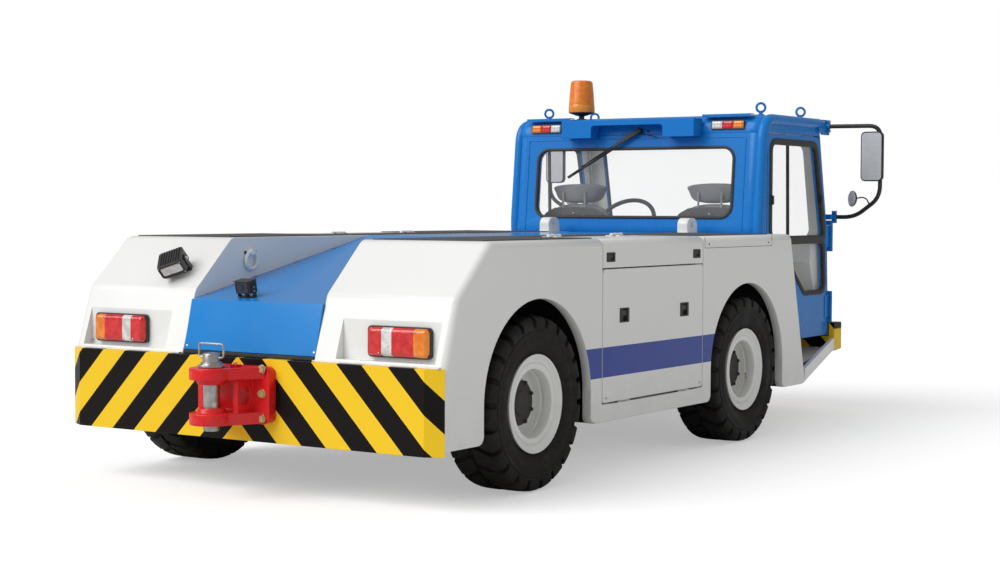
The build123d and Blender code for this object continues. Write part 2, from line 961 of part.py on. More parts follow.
with BuildPart() as step:
    prism(step_plan(0), Plane.XY.offset(skirt_height - overrun), roof_height)
    prism(
        side_points(
            (fender_foot_front - overrun, step_rear_bottom - overrun * step_rise),
            (step_front + overrun, step_front_bottom + overrun * step_rise),
            (step_front + overrun, step_front_bottom + overrun * step_rise + step_rim_height),
            (fender_foot_front - overrun, step_rear_bottom - overrun * step_rise + step_rim_height),
        ),
        Plane.YZ,
        half_width + overrun,
        mode=Mode.INTERSECT,
    )
    with BuildPart(mode=Mode.PRIVATE) as well:
        prism(step_plan(step_rim_width), Plane.XY.offset(skirt_height - overrun), roof_height)
        prism(
            side_points(
                (fender_foot_front - overrun, step_rear_bottom - overrun * step_rise + step_floor_thickness),
                (step_front + overrun, step_front_bottom + overrun * step_rise + step_floor_thickness),
                (step_front + overrun, roof_height),
                (fender_foot_front - overrun, roof_height),
            ),
            Plane.YZ,
            half_width + overrun,
            mode=Mode.INTERSECT,
        )
    add(well.part, mode=Mode.SUBTRACT)
save_pair(step.part, "step")

# Cab shell, later split into the panels it is welded from
cab_side_outline = side_points(
    (cab_foot, cab_bottom),
    (cab_waist, cab_waist_height),
    (cab_rear_top, roof_height),
    (cab_front_top, roof_height),
    (cab_front_waist, cab_waist_height),
    (cab_front_foot, cab_bottom),
)
door_outline = side_points(
    (door_foot_rear, door_foot),
    (door_notch, door_notch_height),
    (door_rear, door_waist_height),
    (door_rear, door_head),
    (door_front_head, door_head),
    (door_front_waist, cab_waist_height),
    (door_front_foot, door_foot),
)


def cab_profile(inset):
    with BuildSketch(Plane.YZ.offset(inset - cab_half_width)) as profile:
        with BuildLine():
            Polyline(*cab_side_outline, close=True)
        make_face()
        fillet(profile.vertices().group_by(Axis.Y)[-1], roof_corner_radius)
        waist = [v for v in profile.vertices() if abs(v.Y - cab_waist_height) < seam]
        fillet(waist, cab_kink_radius)
        if inset > 0:
            offset(amount=-inset, mode=Mode.REPLACE)
    return profile.sketch


def leaning_plane(low, high, height, outward):
    lean = (high[0] - low[0]) / (high[1] - low[1])
    y = at(low[0] + lean * (height - low[1]))
    return Plane(origin=(0, y, height), x_dir=across, z_dir=(0, outward, -outward * lean))


rear_glass_plane = leaning_plane((cab_waist, cab_waist_height), (cab_rear_top, roof_height), rear_window_centre_height, -1)
screen_middle = (windscreen_bottom + windscreen_top) / 2
screen_plane = leaning_plane((cab_front_waist, cab_waist_height), (cab_front_top, roof_height), screen_middle, 1)
screen_height = windscreen_top - windscreen_bottom

with BuildPart() as cab_shell:
    extrude(cab_profile(0), amount=2 * cab_half_width)
    posts = [
        e
        for e in cab_shell.edges()
        if abs(abs(e.center().X) - cab_half_width) < seam and e.center().Z > cab_bottom + overrun
    ]
    fillet(posts, cab_post_radius)
    extrude(cab_profile(cab_wall), amount=2 * (cab_half_width - cab_wall), mode=Mode.SUBTRACT)
    for plane, width, height in (
        (rear_glass_plane, rear_window_width, rear_window_height),
        (screen_plane, windscreen_width, screen_height),
    ):
        with BuildSketch(plane) as pane:
            RectangleRounded(width, height, window_radius)
        extrude(pane.sketch, amount=-2 * cab_wall, both=True, mode=Mode.SUBTRACT)
    for start in (cab_half_width - cab_wall, -cab_half_width - overrun):
        with BuildSketch(Plane.YZ.offset(start)) as doorway:
            with BuildLine():
                Polyline(*door_outline, close=True)
            make_face()
            offset(amount=seam)
        extrude(doorway.sketch, amount=cab_wall + overrun, mode=Mode.SUBTRACT)

roof_split_height = door_head + seam / 2
hinge_x = cab_half_width + hinge_radius
front_region = side_points(
    (door_front_head, roof_split_height),
    (door_front_waist, cab_waist_height),
    (door_front_foot, door_foot),
    (door_front_foot, 0),
    (overall_length, 0),
    (overall_length, roof_split_height),
)

with BuildPart() as cab_roof:
    add(cab_shell.part)
    split(bisect_by=Plane.XY.offset(roof_split_height), keep=Keep.TOP)
    for _, sign in sides:
        near, far = sign * bracket_root_x, sign * arm_root_x
        block(
            (min(near, far), at(arm_upper_y) - bracket_length, arm_upper_z - bracket_height / 2),
            (max(near, far), at(arm_upper_y) + bracket_thickness / 2, arm_upper_z + bracket_thickness / 2),
        )
save(cab_roof.part, "cab_roof")

with BuildPart() as cab_lower:
    add(cab_shell.part)
    split(bisect_by=Plane.XY.offset(roof_split_height), keep=Keep.BOTTOM)

with BuildPart() as cab_rear_wall:
    add(cab_lower.part)
    split(bisect_by=Plane.XZ.offset(-at(side_split_rear)), keep=Keep.TOP)
save(cab_rear_wall.part, "cab_rear_wall")

with BuildPart() as cab_front:
    add(cab_lower.part)
    prism(front_region, Plane.YZ.offset(-body_width), 2 * body_width, mode=Mode.INTERSECT)
    for _, sign in sides:
        near, far = sign * bracket_root_x, sign * arm_root_x
        block(
            (min(near, far), at(arm_lower_y) - lower_bracket_length, arm_lower_z - bracket_thickness / 2),
            (max(near, far), at(arm_lower_y) + bracket_thickness / 2, arm_lower_z + bracket_thickness / 2),
        )
        pin_x = sign * hinge_x
        for hinge_z in hinge_heights:
            for end_z in (hinge_z - hinge_play - hinge_eye, hinge_z + hinge_length + hinge_play):
                rod((pin_x, at(hinge_y), end_z), hinge_radius, hinge_eye, upward)
                block(
                    (min(near, pin_x), at(hinge_y) - hinge_radius, end_z),
                    (max(near, pin_x), at(hinge_y) + hinge_radius, end_z + hinge_eye),
                )
save(cab_front.part, "cab_front")

with BuildPart() as cab_middle:
    add(cab_lower.part)
    split(bisect_by=Plane.XZ.offset(-at(side_split_rear)), keep=Keep.BOTTOM)
    prism(front_region, Plane.YZ.offset(-body_width), 2 * body_width, mode=Mode.SUBTRACT)

with BuildPart() as cab_side:
    add(cab_middle.part)
    split(bisect_by=Plane.YZ.offset(cab_half_width - cab_wall), keep=Keep.TOP)
save_pair(cab_side.part, "cab_side")

# Cab floor with the riser that the seats stand on
floor_half = cab_half_width - cab_wall
floor_level = cab_bottom + cab_wall
with BuildPart() as cab_floor:
    add(cab_middle.part)
    split(bisect_by=Plane.YZ.offset(floor_half), keep=Keep.BOTTOM)
    split(bisect_by=Plane.YZ.offset(-floor_half), keep=Keep.TOP)
    block(
        (-floor_half, at(cab_foot + cab_wall), floor_level),
        (floor_half, at(pedestal_front), pedestal_height),
    )
save(cab_floor.part, "cab_floor")

# Dashboard across the cab, with the console that carries the steering column
with BuildPart() as dashboard:
    prism(
        side_points(
            (dash_foot, floor_level),
            (dash_foot, pedestal_height),
            (dash_rear, dash_top - dash_depth),
            (dash_rear, dash_top),
            (cab_front_waist - cab_wall - cab_kink_gap, dash_top),
            (cab_front_waist - cab_wall - cab_kink_gap, floor_level),
        ),
        Plane.YZ.offset(-floor_half),
        2 * floor_half,
    )
save(dashboard.part, "dashboard")

# Glass of the cab's fixed windows
with BuildPart() as cab_glass:
    for plane, width, height in (
        (rear_glass_plane, rear_window_width, rear_window_height),
        (screen_plane, windscreen_width, screen_height),
    ):
        with BuildSketch(plane.offset(-cab_wall / 2)) as pane:
            RectangleRounded(width, height, window_radius)
        extrude(pane.sketch, amount=glass)
save(cab_glass.part, "cab_glass")

# Cab door: hinged at the front, notched over the wheel arch, with an upper and a lower pane
upper_pane = side_points(
    (door_rear + pane_margin, pane_bar_top),
    (door_rear + pane_margin, door_head - pane_margin),
    (door_front_head - pane_margin, door_head - pane_margin),
    (door_front_waist - pane_margin, cab_waist_height),
    (door_front_waist - pane_margin, pane_bar_top),
)
lower_pane = side_points(
    (pane_foot_rear, pane_foot),
    (pane_slant_rear, pane_slant_height),
    (pane_waist_rear, pane_bar_bottom),
    (door_front_waist - pane_margin, pane_bar_bottom),
    (door_front_foot - pane_margin, pane_foot),
)
door_plane = Plane.YZ.offset(cab_half_width - door_skin)
grip_height = (pane_bar_bottom + pane_bar_top) / 2
with BuildPart() as door:
    prism(door_outline, door_plane, door_skin, rounding=door_round)
    for pane in (upper_pane, lower_pane):
        prism(pane, door_plane, door_skin, mode=Mode.SUBTRACT, rounding=pane_round)
    for hinge_z in hinge_heights:
        rod((hinge_x, at(hinge_y), hinge_z), hinge_radius, hinge_length, upward)
        block(
            (cab_half_width, at(hinge_y) - hinge_leaf, hinge_z),
            (cab_half_width + hinge_leaf_thickness, at(hinge_y), hinge_z + hinge_length),
        )
    block(
        (cab_half_width, at(grip_y), grip_height - grip_width / 2),
        (cab_half_width + grip_depth, at(grip_y) + grip_length, grip_height + grip_width / 2),
    )
save_pair(door.part, "door")

with BuildPart() as door_glass:
    for pane in (upper_pane, lower_pane):
        prism(pane, door_plane.offset((door_skin - glass) / 2), glass, rounding=pane_round)
save_pair(door_glass.part, "door_glass")

# Seats: frames with a back shell, and the pads that lie in them
cushion_rear = seat_back_y + seat_back_thickness
cushion_bottom = cushion_top - cushion_thickness
with BuildPart() as seat_frames:
    for _, sign in sides:
        middle = sign * seat_x
        block(
            (middle - seat_pedestal_width / 2, at(cushion_rear), pedestal_height),
            (middle + seat_pedestal_width / 2, at(cushion_rear + seat_pedestal_length), cushion_bottom - seat_shell),
        )
        block(
            (middle - seat_width / 2, at(seat_back_y - seat_shell), cushion_bottom - seat_shell),
            (middle + seat_width / 2, at(cushion_rear + cushion_length - seat_shell), cushion_bottom - seat_gap),
        )
        block(
            (middle - seat_width / 2, at(seat_back_y - seat_shell), cushion_bottom - seat_shell),
            (middle + seat_width / 2, at(seat_back_y - seat_gap), cushion_top + seat_back_height - seat_shell),
        )
        for _, rod_side in sides:
            rod(
                (
                    middle + rod_side * rod_spacing / 2,
                    at(seat_back_y) - seat_shell / 2,
                    cushion_top + seat_back_height - seat_shell,
                ),
                rod_radius,
                headrest_gap + headrest_height * 2 / 3,
                upward,
            )
save(seat_frames.part, "seat_frames")

with BuildPart() as seat_pads:
    for _, sign in sides:
        middle = sign * seat_x
        block(
            (middle - seat_width / 2, at(cushion_rear + seat_gap), cushion_bottom),
            (middle + seat_width / 2, at(cushion_rear + cushion_length), cushion_top),
        )
        block(
            (middle - seat_width / 2, at(seat_back_y), cushion_bottom),
            (middle + seat_width / 2, at(cushion_rear), cushion_top + seat_back_height),
        )
        headrest_bottom = cushion_top + seat_back_height + headrest_gap - seat_shell
        block(
            (middle - headrest_width / 2, at(seat_back_y) - seat_shell / 2 + rod_radius + seat_gap, headrest_bottom),
            (middle + headrest_width / 2, at(cushion_rear), headrest_bottom + headrest_height),
        )
save(seat_pads.part, "seat_pads")

# Steering wheel: rim, spokes, hub and the column down to the dashboard
tilt = radians(steering_tilt)
wheel_axis = (0, -sin(tilt), cos(tilt))
wheel_plane = Plane(origin=(steering_x, at(steering_y), steering_z), x_dir=across, z_dir=wheel_axis)
column_direction = (0, sin(tilt), -cos(tilt))
column_length = (dash_rear - steering_y) / sin(tilt)
with BuildPart() as steering_wheel:
    hoop(wheel_plane.origin, wheel_axis, steering_radius, steering_rim_radius)
    with Locations(wheel_plane):
        Cylinder(steering_hub_radius, steering_hub_height)
    with BuildSketch(wheel_plane.offset(-steering_rim_radius / 2)) as spokes:
        for turn in spoke_angles:
            with Locations(Location((0, 0), turn)):
                Rectangle(steering_radius, column_radius, align=(Align.MIN, Align.CENTER))
    extrude(spokes.sketch, amount=steering_rim_radius)
    rod(wheel_plane.origin, column_radius, column_length + 2 * column_radius, column_direction)
    split(bisect_by=Plane.XZ.offset(-at(dash_rear)), keep=Keep.TOP)
save(steering_wheel.part, "steering_wheel")

# Header box over the rear window, open in the middle for the wiper's spindle
header_rear_y = at(cab_rear_top) - header_depth
header_wall = leaning_plane((cab_waist, cab_waist_height), (cab_rear_top, roof_height), header_bottom, -1)
with BuildPart() as roof_header:
    prism(
        [
            (header_rear_y, header_bottom),
            (header_wall.origin.Y, header_bottom),
            (at(cab_rear_top) - header_seat, header_top),
            (header_rear_y, header_top),
        ],
        Plane.YZ.offset(-header_half_width),
        2 * header_half_width,
    )
    with BuildSketch(Plane.XZ.offset(-header_rear_y + overrun)) as notch:
        with Locations((0, header_bottom - overrun)):
            Rectangle(2 * header_notch_half_width, header_notch_depth + overrun, align=(Align.CENTER, Align.MIN))
        fillet(notch.vertices().group_by(Axis.Y)[-1], header_notch_radius)
    extrude(amount=-header_depth - 2 * overrun, mode=Mode.SUBTRACT)
save(roof_header.part, "roof_header")

# Marker lamps beside the header
lamp_wall = leaning_plane((cab_waist, cab_waist_height), (cab_rear_top, roof_height), roof_lamp_z, -1)
with BuildPart() as roof_lamps:
    with BuildSketch(lamp_wall) as lamp_faces:
        with Locations((-roof_lamp_x, 0), (roof_lamp_x, 0)):
            RectangleRounded(roof_lamp_width, roof_lamp_height, roof_lamp_thickness)
    extrude(lamp_faces.sketch, amount=roof_lamp_thickness)
save(roof_lamps.part, "roof_lamps")

# Lifting eyes near the roof's corners
with BuildPart() as roof_eyes:
    for _, sign in sides:
        for eye_y in (eye_rear_y, eye_front_y):
            eye_x = sign * (cab_half_width - eye_inset_x)
            ring_z = roof_height + eye_foot_height + eye_stem + eye_ring_radius - eye_wire_radius
            rod((eye_x, at(eye_y), roof_height), eye_foot_radius, eye_foot_height, upward)
            rod((eye_x, at(eye_y), roof_height), eye_stem_radius, eye_stem + eye_foot_height, upward)
            hoop((eye_x, at(eye_y), ring_z), across, eye_ring_radius, eye_wire_radius)
save(roof_eyes.part, "roof_eyes")

# Beacon: stem, conical base, upright collar and a tapered lens, turned as one
beacon_base_z = roof_height + beacon_stem_height
beacon_collar_z = beacon_base_z + beacon_base_height
beacon_top_z = beacon_collar_z + beacon_collar_height + beacon_lens_height
beacon_outline = (
    (0, roof_height),
    (beacon_stem_radius, roof_height),
    (beacon_stem_radius, beacon_base_z),
    (beacon_cone_radius, beacon_base_z),
    (beacon_base_radius, beacon_collar_z),
    (beacon_base_radius, beacon_collar_z + beacon_collar_height),
    (beacon_top_radius, beacon_top_z),
    (0, beacon_top_z),
)
with BuildPart() as beacon:
    with BuildSketch(Plane.XZ) as section:
        with BuildLine():
            Polyline(*beacon_outline, close=True)
        make_face()
    beacon_axis = Location((beacon_x, at(beacon_y), 0))
    add(revolve(section.sketch, axis=Axis.Z, mode=Mode.PRIVATE).moved(beacon_axis))
    chamfer(beacon.edges().group_by(Axis.Z)[-1], beacon_top_bevel)
save(beacon.part, "beacon")

# Rear wiper: spindle in the header's notch, arm and blade
wiper_turn = radians(wiper_angle)
wiper_plane = leaning_plane(
    (cab_waist, cab_waist_height), (cab_rear_top, roof_height), header_bottom + header_notch_depth / 2, -1
)
with BuildPart() as rear_wiper:
    with BuildSketch(wiper_plane) as spindle:
        with Locations((wiper_pivot_x, 0)):
            Circle(wiper_pivot_radius)
    extrude(spindle.sketch, amount=wiper_stand_off + wiper_arm_radius)
    with BuildSketch(wiper_plane.offset(wiper_stand_off)) as arm:
        with Locations(Location((wiper_pivot_x, 0), wiper_angle)):
            Rectangle(wiper_arm_length, 2 * wiper_arm_radius, align=(Align.MIN, Align.CENTER))
    extrude(arm.sketch, amount=wiper_arm_radius)
    with BuildSketch(wiper_plane.offset(wiper_blade_gap)) as blade:
        tip = (
            wiper_pivot_x + wiper_arm_length * cos(wiper_turn),
            wiper_arm_length * sin(wiper_turn),
        )
        with Locations(Location(tip, wiper_angle)):
            Rectangle(wiper_blade_length, wiper_arm_radius)
    extrude(blade.sketch, amount=wiper_stand_off)
save(rear_wiper.part, "rear_wiper")

# Mirrors: bent tube arm from two brackets, a tall head and a small round one
with BuildPart() as mirror_arm:
    head_middle = (mirror_inner_x + mirror_outer_x) / 2
    arm_slant = atan2(mirror_y - arm_upper_y, arm_elbow_x - arm_root_x)
    tube(
        [
            (arm_root_x + arm_radius * sin(arm_slant) + arm_end_gap, at(arm_upper_y), arm_upper_z),
            (arm_elbow_x, at(mirror_y), arm_upper_z),
            (arm_elbow_x, at(mirror_y), arm_elbow_z),
            (arm_knee_x, at(arm_lower_y), arm_lower_z),
            (arm_root_x, at(arm_lower_y), arm_lower_z),
        ],
        arm_bend_radius,
        arm_radius,
    )
    with BuildSketch(Plane.XZ.offset(-at(mirror_y) - mirror_thickness / 2)) as head:
        with Locations((head_middle, (mirror_bottom + mirror_top) / 2)):
            RectangleRounded(mirror_outer_x - mirror_inner_x, mirror_top - mirror_bottom, mirror_round)
    extrude(head.sketch, amount=mirror_thickness)
    spot_y = at(mirror_y)
    rod((spot_mirror_x, spot_y, spot_mirror_z), spot_mirror_radius, spot_mirror_thickness, along)
    rod(
        (spot_mirror_x, spot_y + spot_mirror_thickness / 2, spot_mirror_z),
        spot_stem_radius,
        arm_elbow_x - spot_mirror_x - arm_radius,
        across,
    )
save_pair(mirror_arm.part, "mirror")

# Head lamps in the front panel
front_panel = leaning_plane((cab_front_foot, cab_bottom), (cab_front_waist, cab_waist_height), head_lamp_z, 1)
with BuildPart() as head_lamps:
    with BuildSketch(front_panel) as lamp_discs:
        with Locations((-head_lamp_x, 0), (head_lamp_x, 0)):
            Circle(head_lamp_radius)
    extrude(lamp_discs.sketch, amount=head_lamp_depth)
save(head_lamps.part, "head_lamps")

# Axles: beam with spring pads; the front one ends in forks for the knuckles
rim_outer_x = wheel_x + rim_width / 2
rim_inner_x = wheel_x - rim_width / 2
disc_x = rim_outer_x - hub_reach
stub_end = disc_x + hub_depth / 2


# turned banjo housing with its beam and stubs, and the pads that bolt to the frame
def axle_housing(beam_half, axle_y, stub_half):
    half_profile = (
        (stub_half, 0),
        (stub_half, axle_stub_radius),
        (beam_half, axle_stub_radius),
        (beam_half, axle_tube_radius),
        (differential_radius + differential_taper, axle_tube_radius),
        (differential_half_width, differential_radius),
    )
    other_half = [(-x, radius) for x, radius in reversed(half_profile)]
    with BuildSketch(Plane.XY) as section:
        with BuildLine():
            Polyline(*half_profile, *other_half, close=True)
        make_face()
    middle = Location((0, axle_y, tyre_radius))
    add(revolve(section.sketch, axis=Axis.X, mode=Mode.PRIVATE).moved(middle))
    for _, sign in sides:
        block(
            (sign * axle_pad_x - axle_pad_width / 2, axle_y - axle_pad_length / 2, tyre_radius),
            (sign * axle_pad_x + axle_pad_width / 2, axle_y + axle_pad_length / 2, axle_top),
        )


with BuildPart() as rear_axle:
    axle_housing(rim_inner_x - axle_gap, rear_axle_y, stub_end)
save(rear_axle.part, "rear_axle")

fork_z = tyre_radius + knuckle_height / 2 + running_gap
fork_low_z = 2 * tyre_radius - fork_z - axle_fork_depth
fork_face = kingpin_x - knuckle_width / 2 - running_gap
fork_back = fork_face - axle_fork_depth
with BuildPart() as front_axle:
    axle_housing(fork_back, front_axle_y, fork_back + axle_gap)
    for _, sign in sides:
        near, far = sign * fork_back, sign * (kingpin_x + axle_fork_width / 2)
        for low_z in (fork_z, fork_low_z):
            block(
                (min(near, far), front_axle_y - axle_fork_width / 2, low_z),
                (max(near, far), front_axle_y + axle_fork_width / 2, low_z + axle_fork_depth),
            )
        face = sign * fork_face
        block(
            (min(near, face), front_axle_y - axle_fork_width / 2, fork_low_z),
            (max(near, face), front_axle_y + axle_fork_width / 2, fork_z + axle_fork_depth),
        )
        rod(
            (sign * kingpin_x, front_axle_y, fork_low_z - overrun),
            kingpin_radius + bearing_gap,
            2 * (tyre_radius - fork_low_z + overrun),
            upward,
            Mode.SUBTRACT,
        )
save(front_axle.part, "front_axle")

# Knuckle: block between the fork's cheeks, its kingpin and the stub axle
with BuildPart() as knuckle:
    rod(
        (kingpin_x, front_axle_y, tyre_radius - knuckle_height / 2),
        knuckle_width / 2,
        knuckle_height,
        upward,
    )
    rod(
        (kingpin_x, front_axle_y, fork_low_z - kingpin_overhang),
        kingpin_radius,
        2 * (tyre_radius - fork_low_z + kingpin_overhang),
        upward,
    )
    rod((kingpin_x, front_axle_y, tyre_radius), axle_stub_radius, stub_end - kingpin_x, across)
save_pair(knuckle.part, "knuckle")

# Wheels: dished rim with its hub, and the tyre
ring_face_x = rim_outer_x - lock_ring_depth
ring_back_x = ring_face_x - lock_ring_width
ridge_x = rim_outer_x - ridge_depth
rim_outline = (
    (rim_outer_x, rim_radius),
    (rim_outer_x - rim_lip, rim_radius),
    (rim_outer_x - rim_step, bead_seat_radius),
    (rim_inner_x + rim_step, bead_seat_radius),
    (rim_inner_x + rim_lip, rim_radius),
    (rim_inner_x, rim_radius),
    (rim_inner_x, rim_radius - rim_lip),
    (rim_inner_x + rim_step, barrel_radius),
    (disc_x - disc_thickness, barrel_radius),
    (disc_x - disc_thickness, axle_stub_radius + bearing_gap),
    (stub_end, axle_stub_radius + bearing_gap),
    (stub_end, hub_radius),
    (disc_x, hub_radius),
    (disc_x, barrel_radius),
    (ridge_x - ridge_width, barrel_radius),
    (ridge_x - ridge_width / 2, ridge_radius),
    (ridge_x, barrel_radius),
    (ring_back_x, barrel_radius),
    (ring_back_x, ring_bore_radius),
    (ring_face_x, ring_bore_radius),
    (ring_face_x, lock_ring_radius),
    (rim_outer_x, rim_radius - rim_lip),
)
def turned(outline):
    with BuildSketch(Plane.XY) as section:
        with BuildLine():
            Polyline(*outline, close=True)
        make_face()
    revolve(section.sketch, axis=Axis.X)


def groove_planes():
    slant = radians(lug_groove_slant)
    planes = []
    for end in (-1, 1):
        for pitch in range(lug_pitches):
            turn = radians(360 * (pitch + end / 4) / lug_pitches)
            out = Vector(0, cos(turn), sin(turn))
            around = Vector(0, -sin(turn), cos(turn))
            sideways = Vector(end * cos(slant), 0, 0) + around * sin(slant)
            planes.append(Plane(origin=(wheel_x, 0, 0), x_dir=sideways, z_dir=sideways.cross(out)))
    return planes


# a groove between two lugs: (across from the tyre's middle, out from its axis)
groove_floor = tyre_radius - lug_groove_depth
groove_outline = (
    (lug_groove_inset, tyre_radius + overrun),
    (lug_groove_inset, groove_floor),
    (tread_half_width - lug_groove_depth, groove_floor),
    (tyre_width / 2 + seam, tyre_radius - lug_flank_depth),
    (tyre_width + overrun, tyre_radius - lug_flank_depth),
    (tyre_width + overrun, tyre_radius + overrun),
)
with BuildPart() as rim:
    turned(rim_outline)
# a lug to each flat of the tyre; its walls dish in to the bead seat, which touches the rim
seat_half = rim_outer_x - rim_step - wheel_x
tyre_half = tyre_width / 2
with BuildPart() as tyre:
    with BuildSketch(Plane.YZ.offset(wheel_x - tyre_half)):
        RegularPolygon(tyre_radius, lug_pitches, major_radius=False)
    extrude(amount=tyre_width)
    for end in (-1, 1):
        with BuildPart(mode=Mode.SUBTRACT):
            with BuildSketch(Plane.YZ.offset(wheel_x + end * (tyre_half + seat_half) / 2)):
                RegularPolygon(sidewall_radius, lug_pitches, major_radius=False)
            extrude(amount=(tyre_half - seat_half) / 2, both=True)
            for pitch in range(lug_pitches):
                turn = 2 * pi * (pitch + 1 / 2) / lug_pitches
                seat_edge = (wheel_x + end * seat_half, bead_seat_radius * cos(turn), bead_seat_radius * sin(turn))
                out = (
                    end * (bead_seat_radius - sidewall_radius),
                    (tyre_half - seat_half) * cos(turn),
                    (tyre_half - seat_half) * sin(turn),
                )
                split(bisect_by=Plane(origin=seat_edge, z_dir=out), keep=Keep.BOTTOM)
    with BuildSketch(Plane.YZ.offset(wheel_x - seat_half)):
        RegularPolygon(bead_seat_radius, lug_pitches, major_radius=False)
    extrude(amount=2 * seat_half, mode=Mode.SUBTRACT)
    with BuildSketch(*groove_planes()) as grooves:
        with BuildLine():
            Polyline(*groove_outline, close=True)
        make_face()
    extrude(amount=lug_groove_width / 2, both=True, mode=Mode.SUBTRACT)

for axle_name, axle_y in axle_places:
    for piece_name, piece in (("rim", rim), ("tyre", tyre)):
        save_pair(piece.part.moved(Location((0, axle_y, tyre_radius))), f"{piece_name}_{axle_name}")
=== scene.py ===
from math import cos, pi, radians, sin, tau

import bmesh
import bpy
from mathutils import Matrix, Vector


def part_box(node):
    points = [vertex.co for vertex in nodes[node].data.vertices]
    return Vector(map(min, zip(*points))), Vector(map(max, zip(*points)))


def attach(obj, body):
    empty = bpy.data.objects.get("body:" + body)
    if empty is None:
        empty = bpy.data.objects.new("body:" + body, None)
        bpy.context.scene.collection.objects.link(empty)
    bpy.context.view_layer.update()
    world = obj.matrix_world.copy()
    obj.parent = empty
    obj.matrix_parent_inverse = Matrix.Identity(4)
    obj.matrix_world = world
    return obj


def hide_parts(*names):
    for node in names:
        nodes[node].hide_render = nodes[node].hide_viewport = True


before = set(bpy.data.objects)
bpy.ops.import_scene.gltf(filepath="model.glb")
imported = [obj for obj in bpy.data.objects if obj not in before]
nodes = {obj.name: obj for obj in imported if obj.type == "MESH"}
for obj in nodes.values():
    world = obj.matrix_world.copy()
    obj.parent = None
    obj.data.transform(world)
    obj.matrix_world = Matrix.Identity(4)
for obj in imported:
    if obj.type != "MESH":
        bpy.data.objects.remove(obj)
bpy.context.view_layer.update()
print("frame loaded with", len(nodes), "nodes")

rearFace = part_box("rear_bumper")[0].y        # distances along the machine are counted from here
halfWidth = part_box("rear_bumper")[1].x
sides = (("left", -1), ("right", 1))
upward = (0, 0, 1)


def back(distance):
    return rearFace + distance


# small helpers for materials; a socket knows its own node tree
def addNode(tree, kind, **values):
    made = tree.nodes.new(kind)
    for key, value in values.items():
        if key in made.inputs:
            made.inputs[key].default_value = value
        else:
            setattr(made, key, value)
    return made


def feed(node, **sockets):
    for key, socket in sockets.items():
        node.id_data.links.new(socket, node.inputs[key.replace("_", " ")])


def calc(operation, *terms):
    tree = next(term.id_data for term in terms if not isinstance(term, (int, float)))
    made = addNode(tree, "ShaderNodeMath", operation=operation)
    for place, term in enumerate(terms):
        if isinstance(term, (int, float)):
            made.inputs[place].default_value = term
        else:
            tree.links.new(term, made.inputs[place])
    return made.outputs[0]


def product(first, *others):
    for other in others:
        first = calc("MULTIPLY", first, other)
    return first


def unsigned(value):
    return calc("ABSOLUTE", value)


def mapped(value, low, high, toLow=0, toHigh=1):
    made = addNode(value.id_data, "ShaderNodeMapRange", interpolation_type="SMOOTHSTEP",
                   **{"From Min": low, "From Max": high, "To Min": toLow, "To Max": toHigh})
    feed(made, Value=value)
    return made.outputs["Result"]


def noise(place, scale, detail=3, roughness=0.5):
    made = addNode(place.id_data, "ShaderNodeTexNoise", Scale=scale, Detail=detail, Roughness=roughness)
    feed(made, Vector=place)
    return made.outputs["Fac"]


def mixColour(share, first, second):
    made = addNode(share.id_data, "ShaderNodeMix", data_type="RGBA")
    feed(made, Factor=share)
    for socket, value in (("A", first), ("B", second)):
        target = [i for i in made.inputs if i.name == socket and i.type == "RGBA"][0]
        if isinstance(value, tuple):
            target.default_value = (*value, 1)
        else:
            share.id_data.links.new(value, target)
    return [o for o in made.outputs if o.type == "RGBA"][0]


def axesOf(place):
    split = addNode(place.id_data, "ShaderNodeSeparateXYZ")
    feed(split, Vector=place)
    return [split.outputs[key] for key in "XYZ"]


def startMaterial(name, roughness=0.4, metallic=0.0, **settings):
    material = bpy.data.materials.new(name)
    material.use_nodes = True
    shader = material.node_tree.nodes["Principled BSDF"]
    for key, value in {"Roughness": roughness, "Metallic": metallic, **settings}.items():
        shader.inputs[key].default_value = value
    return material, shader, material.node_tree.nodes.new("ShaderNodeTexCoord").outputs["Object"]


def addBump(shader, height, strength, distance):
    bump = addNode(shader.id_data, "ShaderNodeBump", Strength=strength, Distance=distance)
    feed(bump, Height=height)
    feed(shader, Normal=bump.outputs["Normal"])


# paints: colour, second colour, roughness range, coat and shine
paintLooks = {
    "white": ((0.85, 0.855, 0.835), (0.835, 0.84, 0.82), (0.3, 0.36), 0.2, 0.35),
    "blue": ((0.010, 0.205, 0.62), (0.009, 0.19, 0.59), (0.24, 0.34), 0.12, 0.2),
    "cover": ((0.010, 0.235, 0.66), (0.009, 0.222, 0.63), (0.14, 0.22), 0.22, 0.22),
    "inside": ((0.82, 0.83, 0.81), (0.77, 0.78, 0.76), (0.4, 0.5), 0.1, 0.35),
    "red": ((0.86, 0.008, 0.014), (0.74, 0.006, 0.011), (0.24, 0.38), 0.15, 0.3),
    "rim": ((0.90, 0.91, 0.885), (0.86, 0.865, 0.83), (0.3, 0.42), 0.25, 0.35),
    "frame": ((0.022, 0.022, 0.024), (0.05, 0.045, 0.04), (0.42, 0.6), 0.05, 0.35),
    "chevron": ((0.85, 0.855, 0.835), (0.835, 0.84, 0.82), (0.32, 0.42), 0.0, 0.16),
}
stripe = {"low": 0.490, "high": 0.639, "skin": 0.0015, "reach": 1.0, "colour": (0.004, 0.040, 0.33)}
# painted shade: near-black colour deep inside the wheel arches, past a lit lip of the given depth
archShade = {"radius": 0.53, "depth": 0.052, "inner": 0.58, "centreHeight": 0.434,
              "colour": (0.012, 0.011, 0.011)}
dirt = {"colour": (0.33, 0.30, 0.26), "low": 0.24, "high": 0.75, "most": 0.10}
grain = {"peelScale": 420, "peelStrength": 0.02, "peelDepth": 0.0003, "patchScale": 1.1, "smearScale": 9}
chevron = {"period": 0.2845, "yellowShare": 0.503, "shift": -0.015, "slope": 0.97, "offset": 0.1365,
           "top": 0.631, "yellow": (0.93, 0.60, 0.022), "black": (0.006, 0.0045, 0.004),
           "lead": 40}
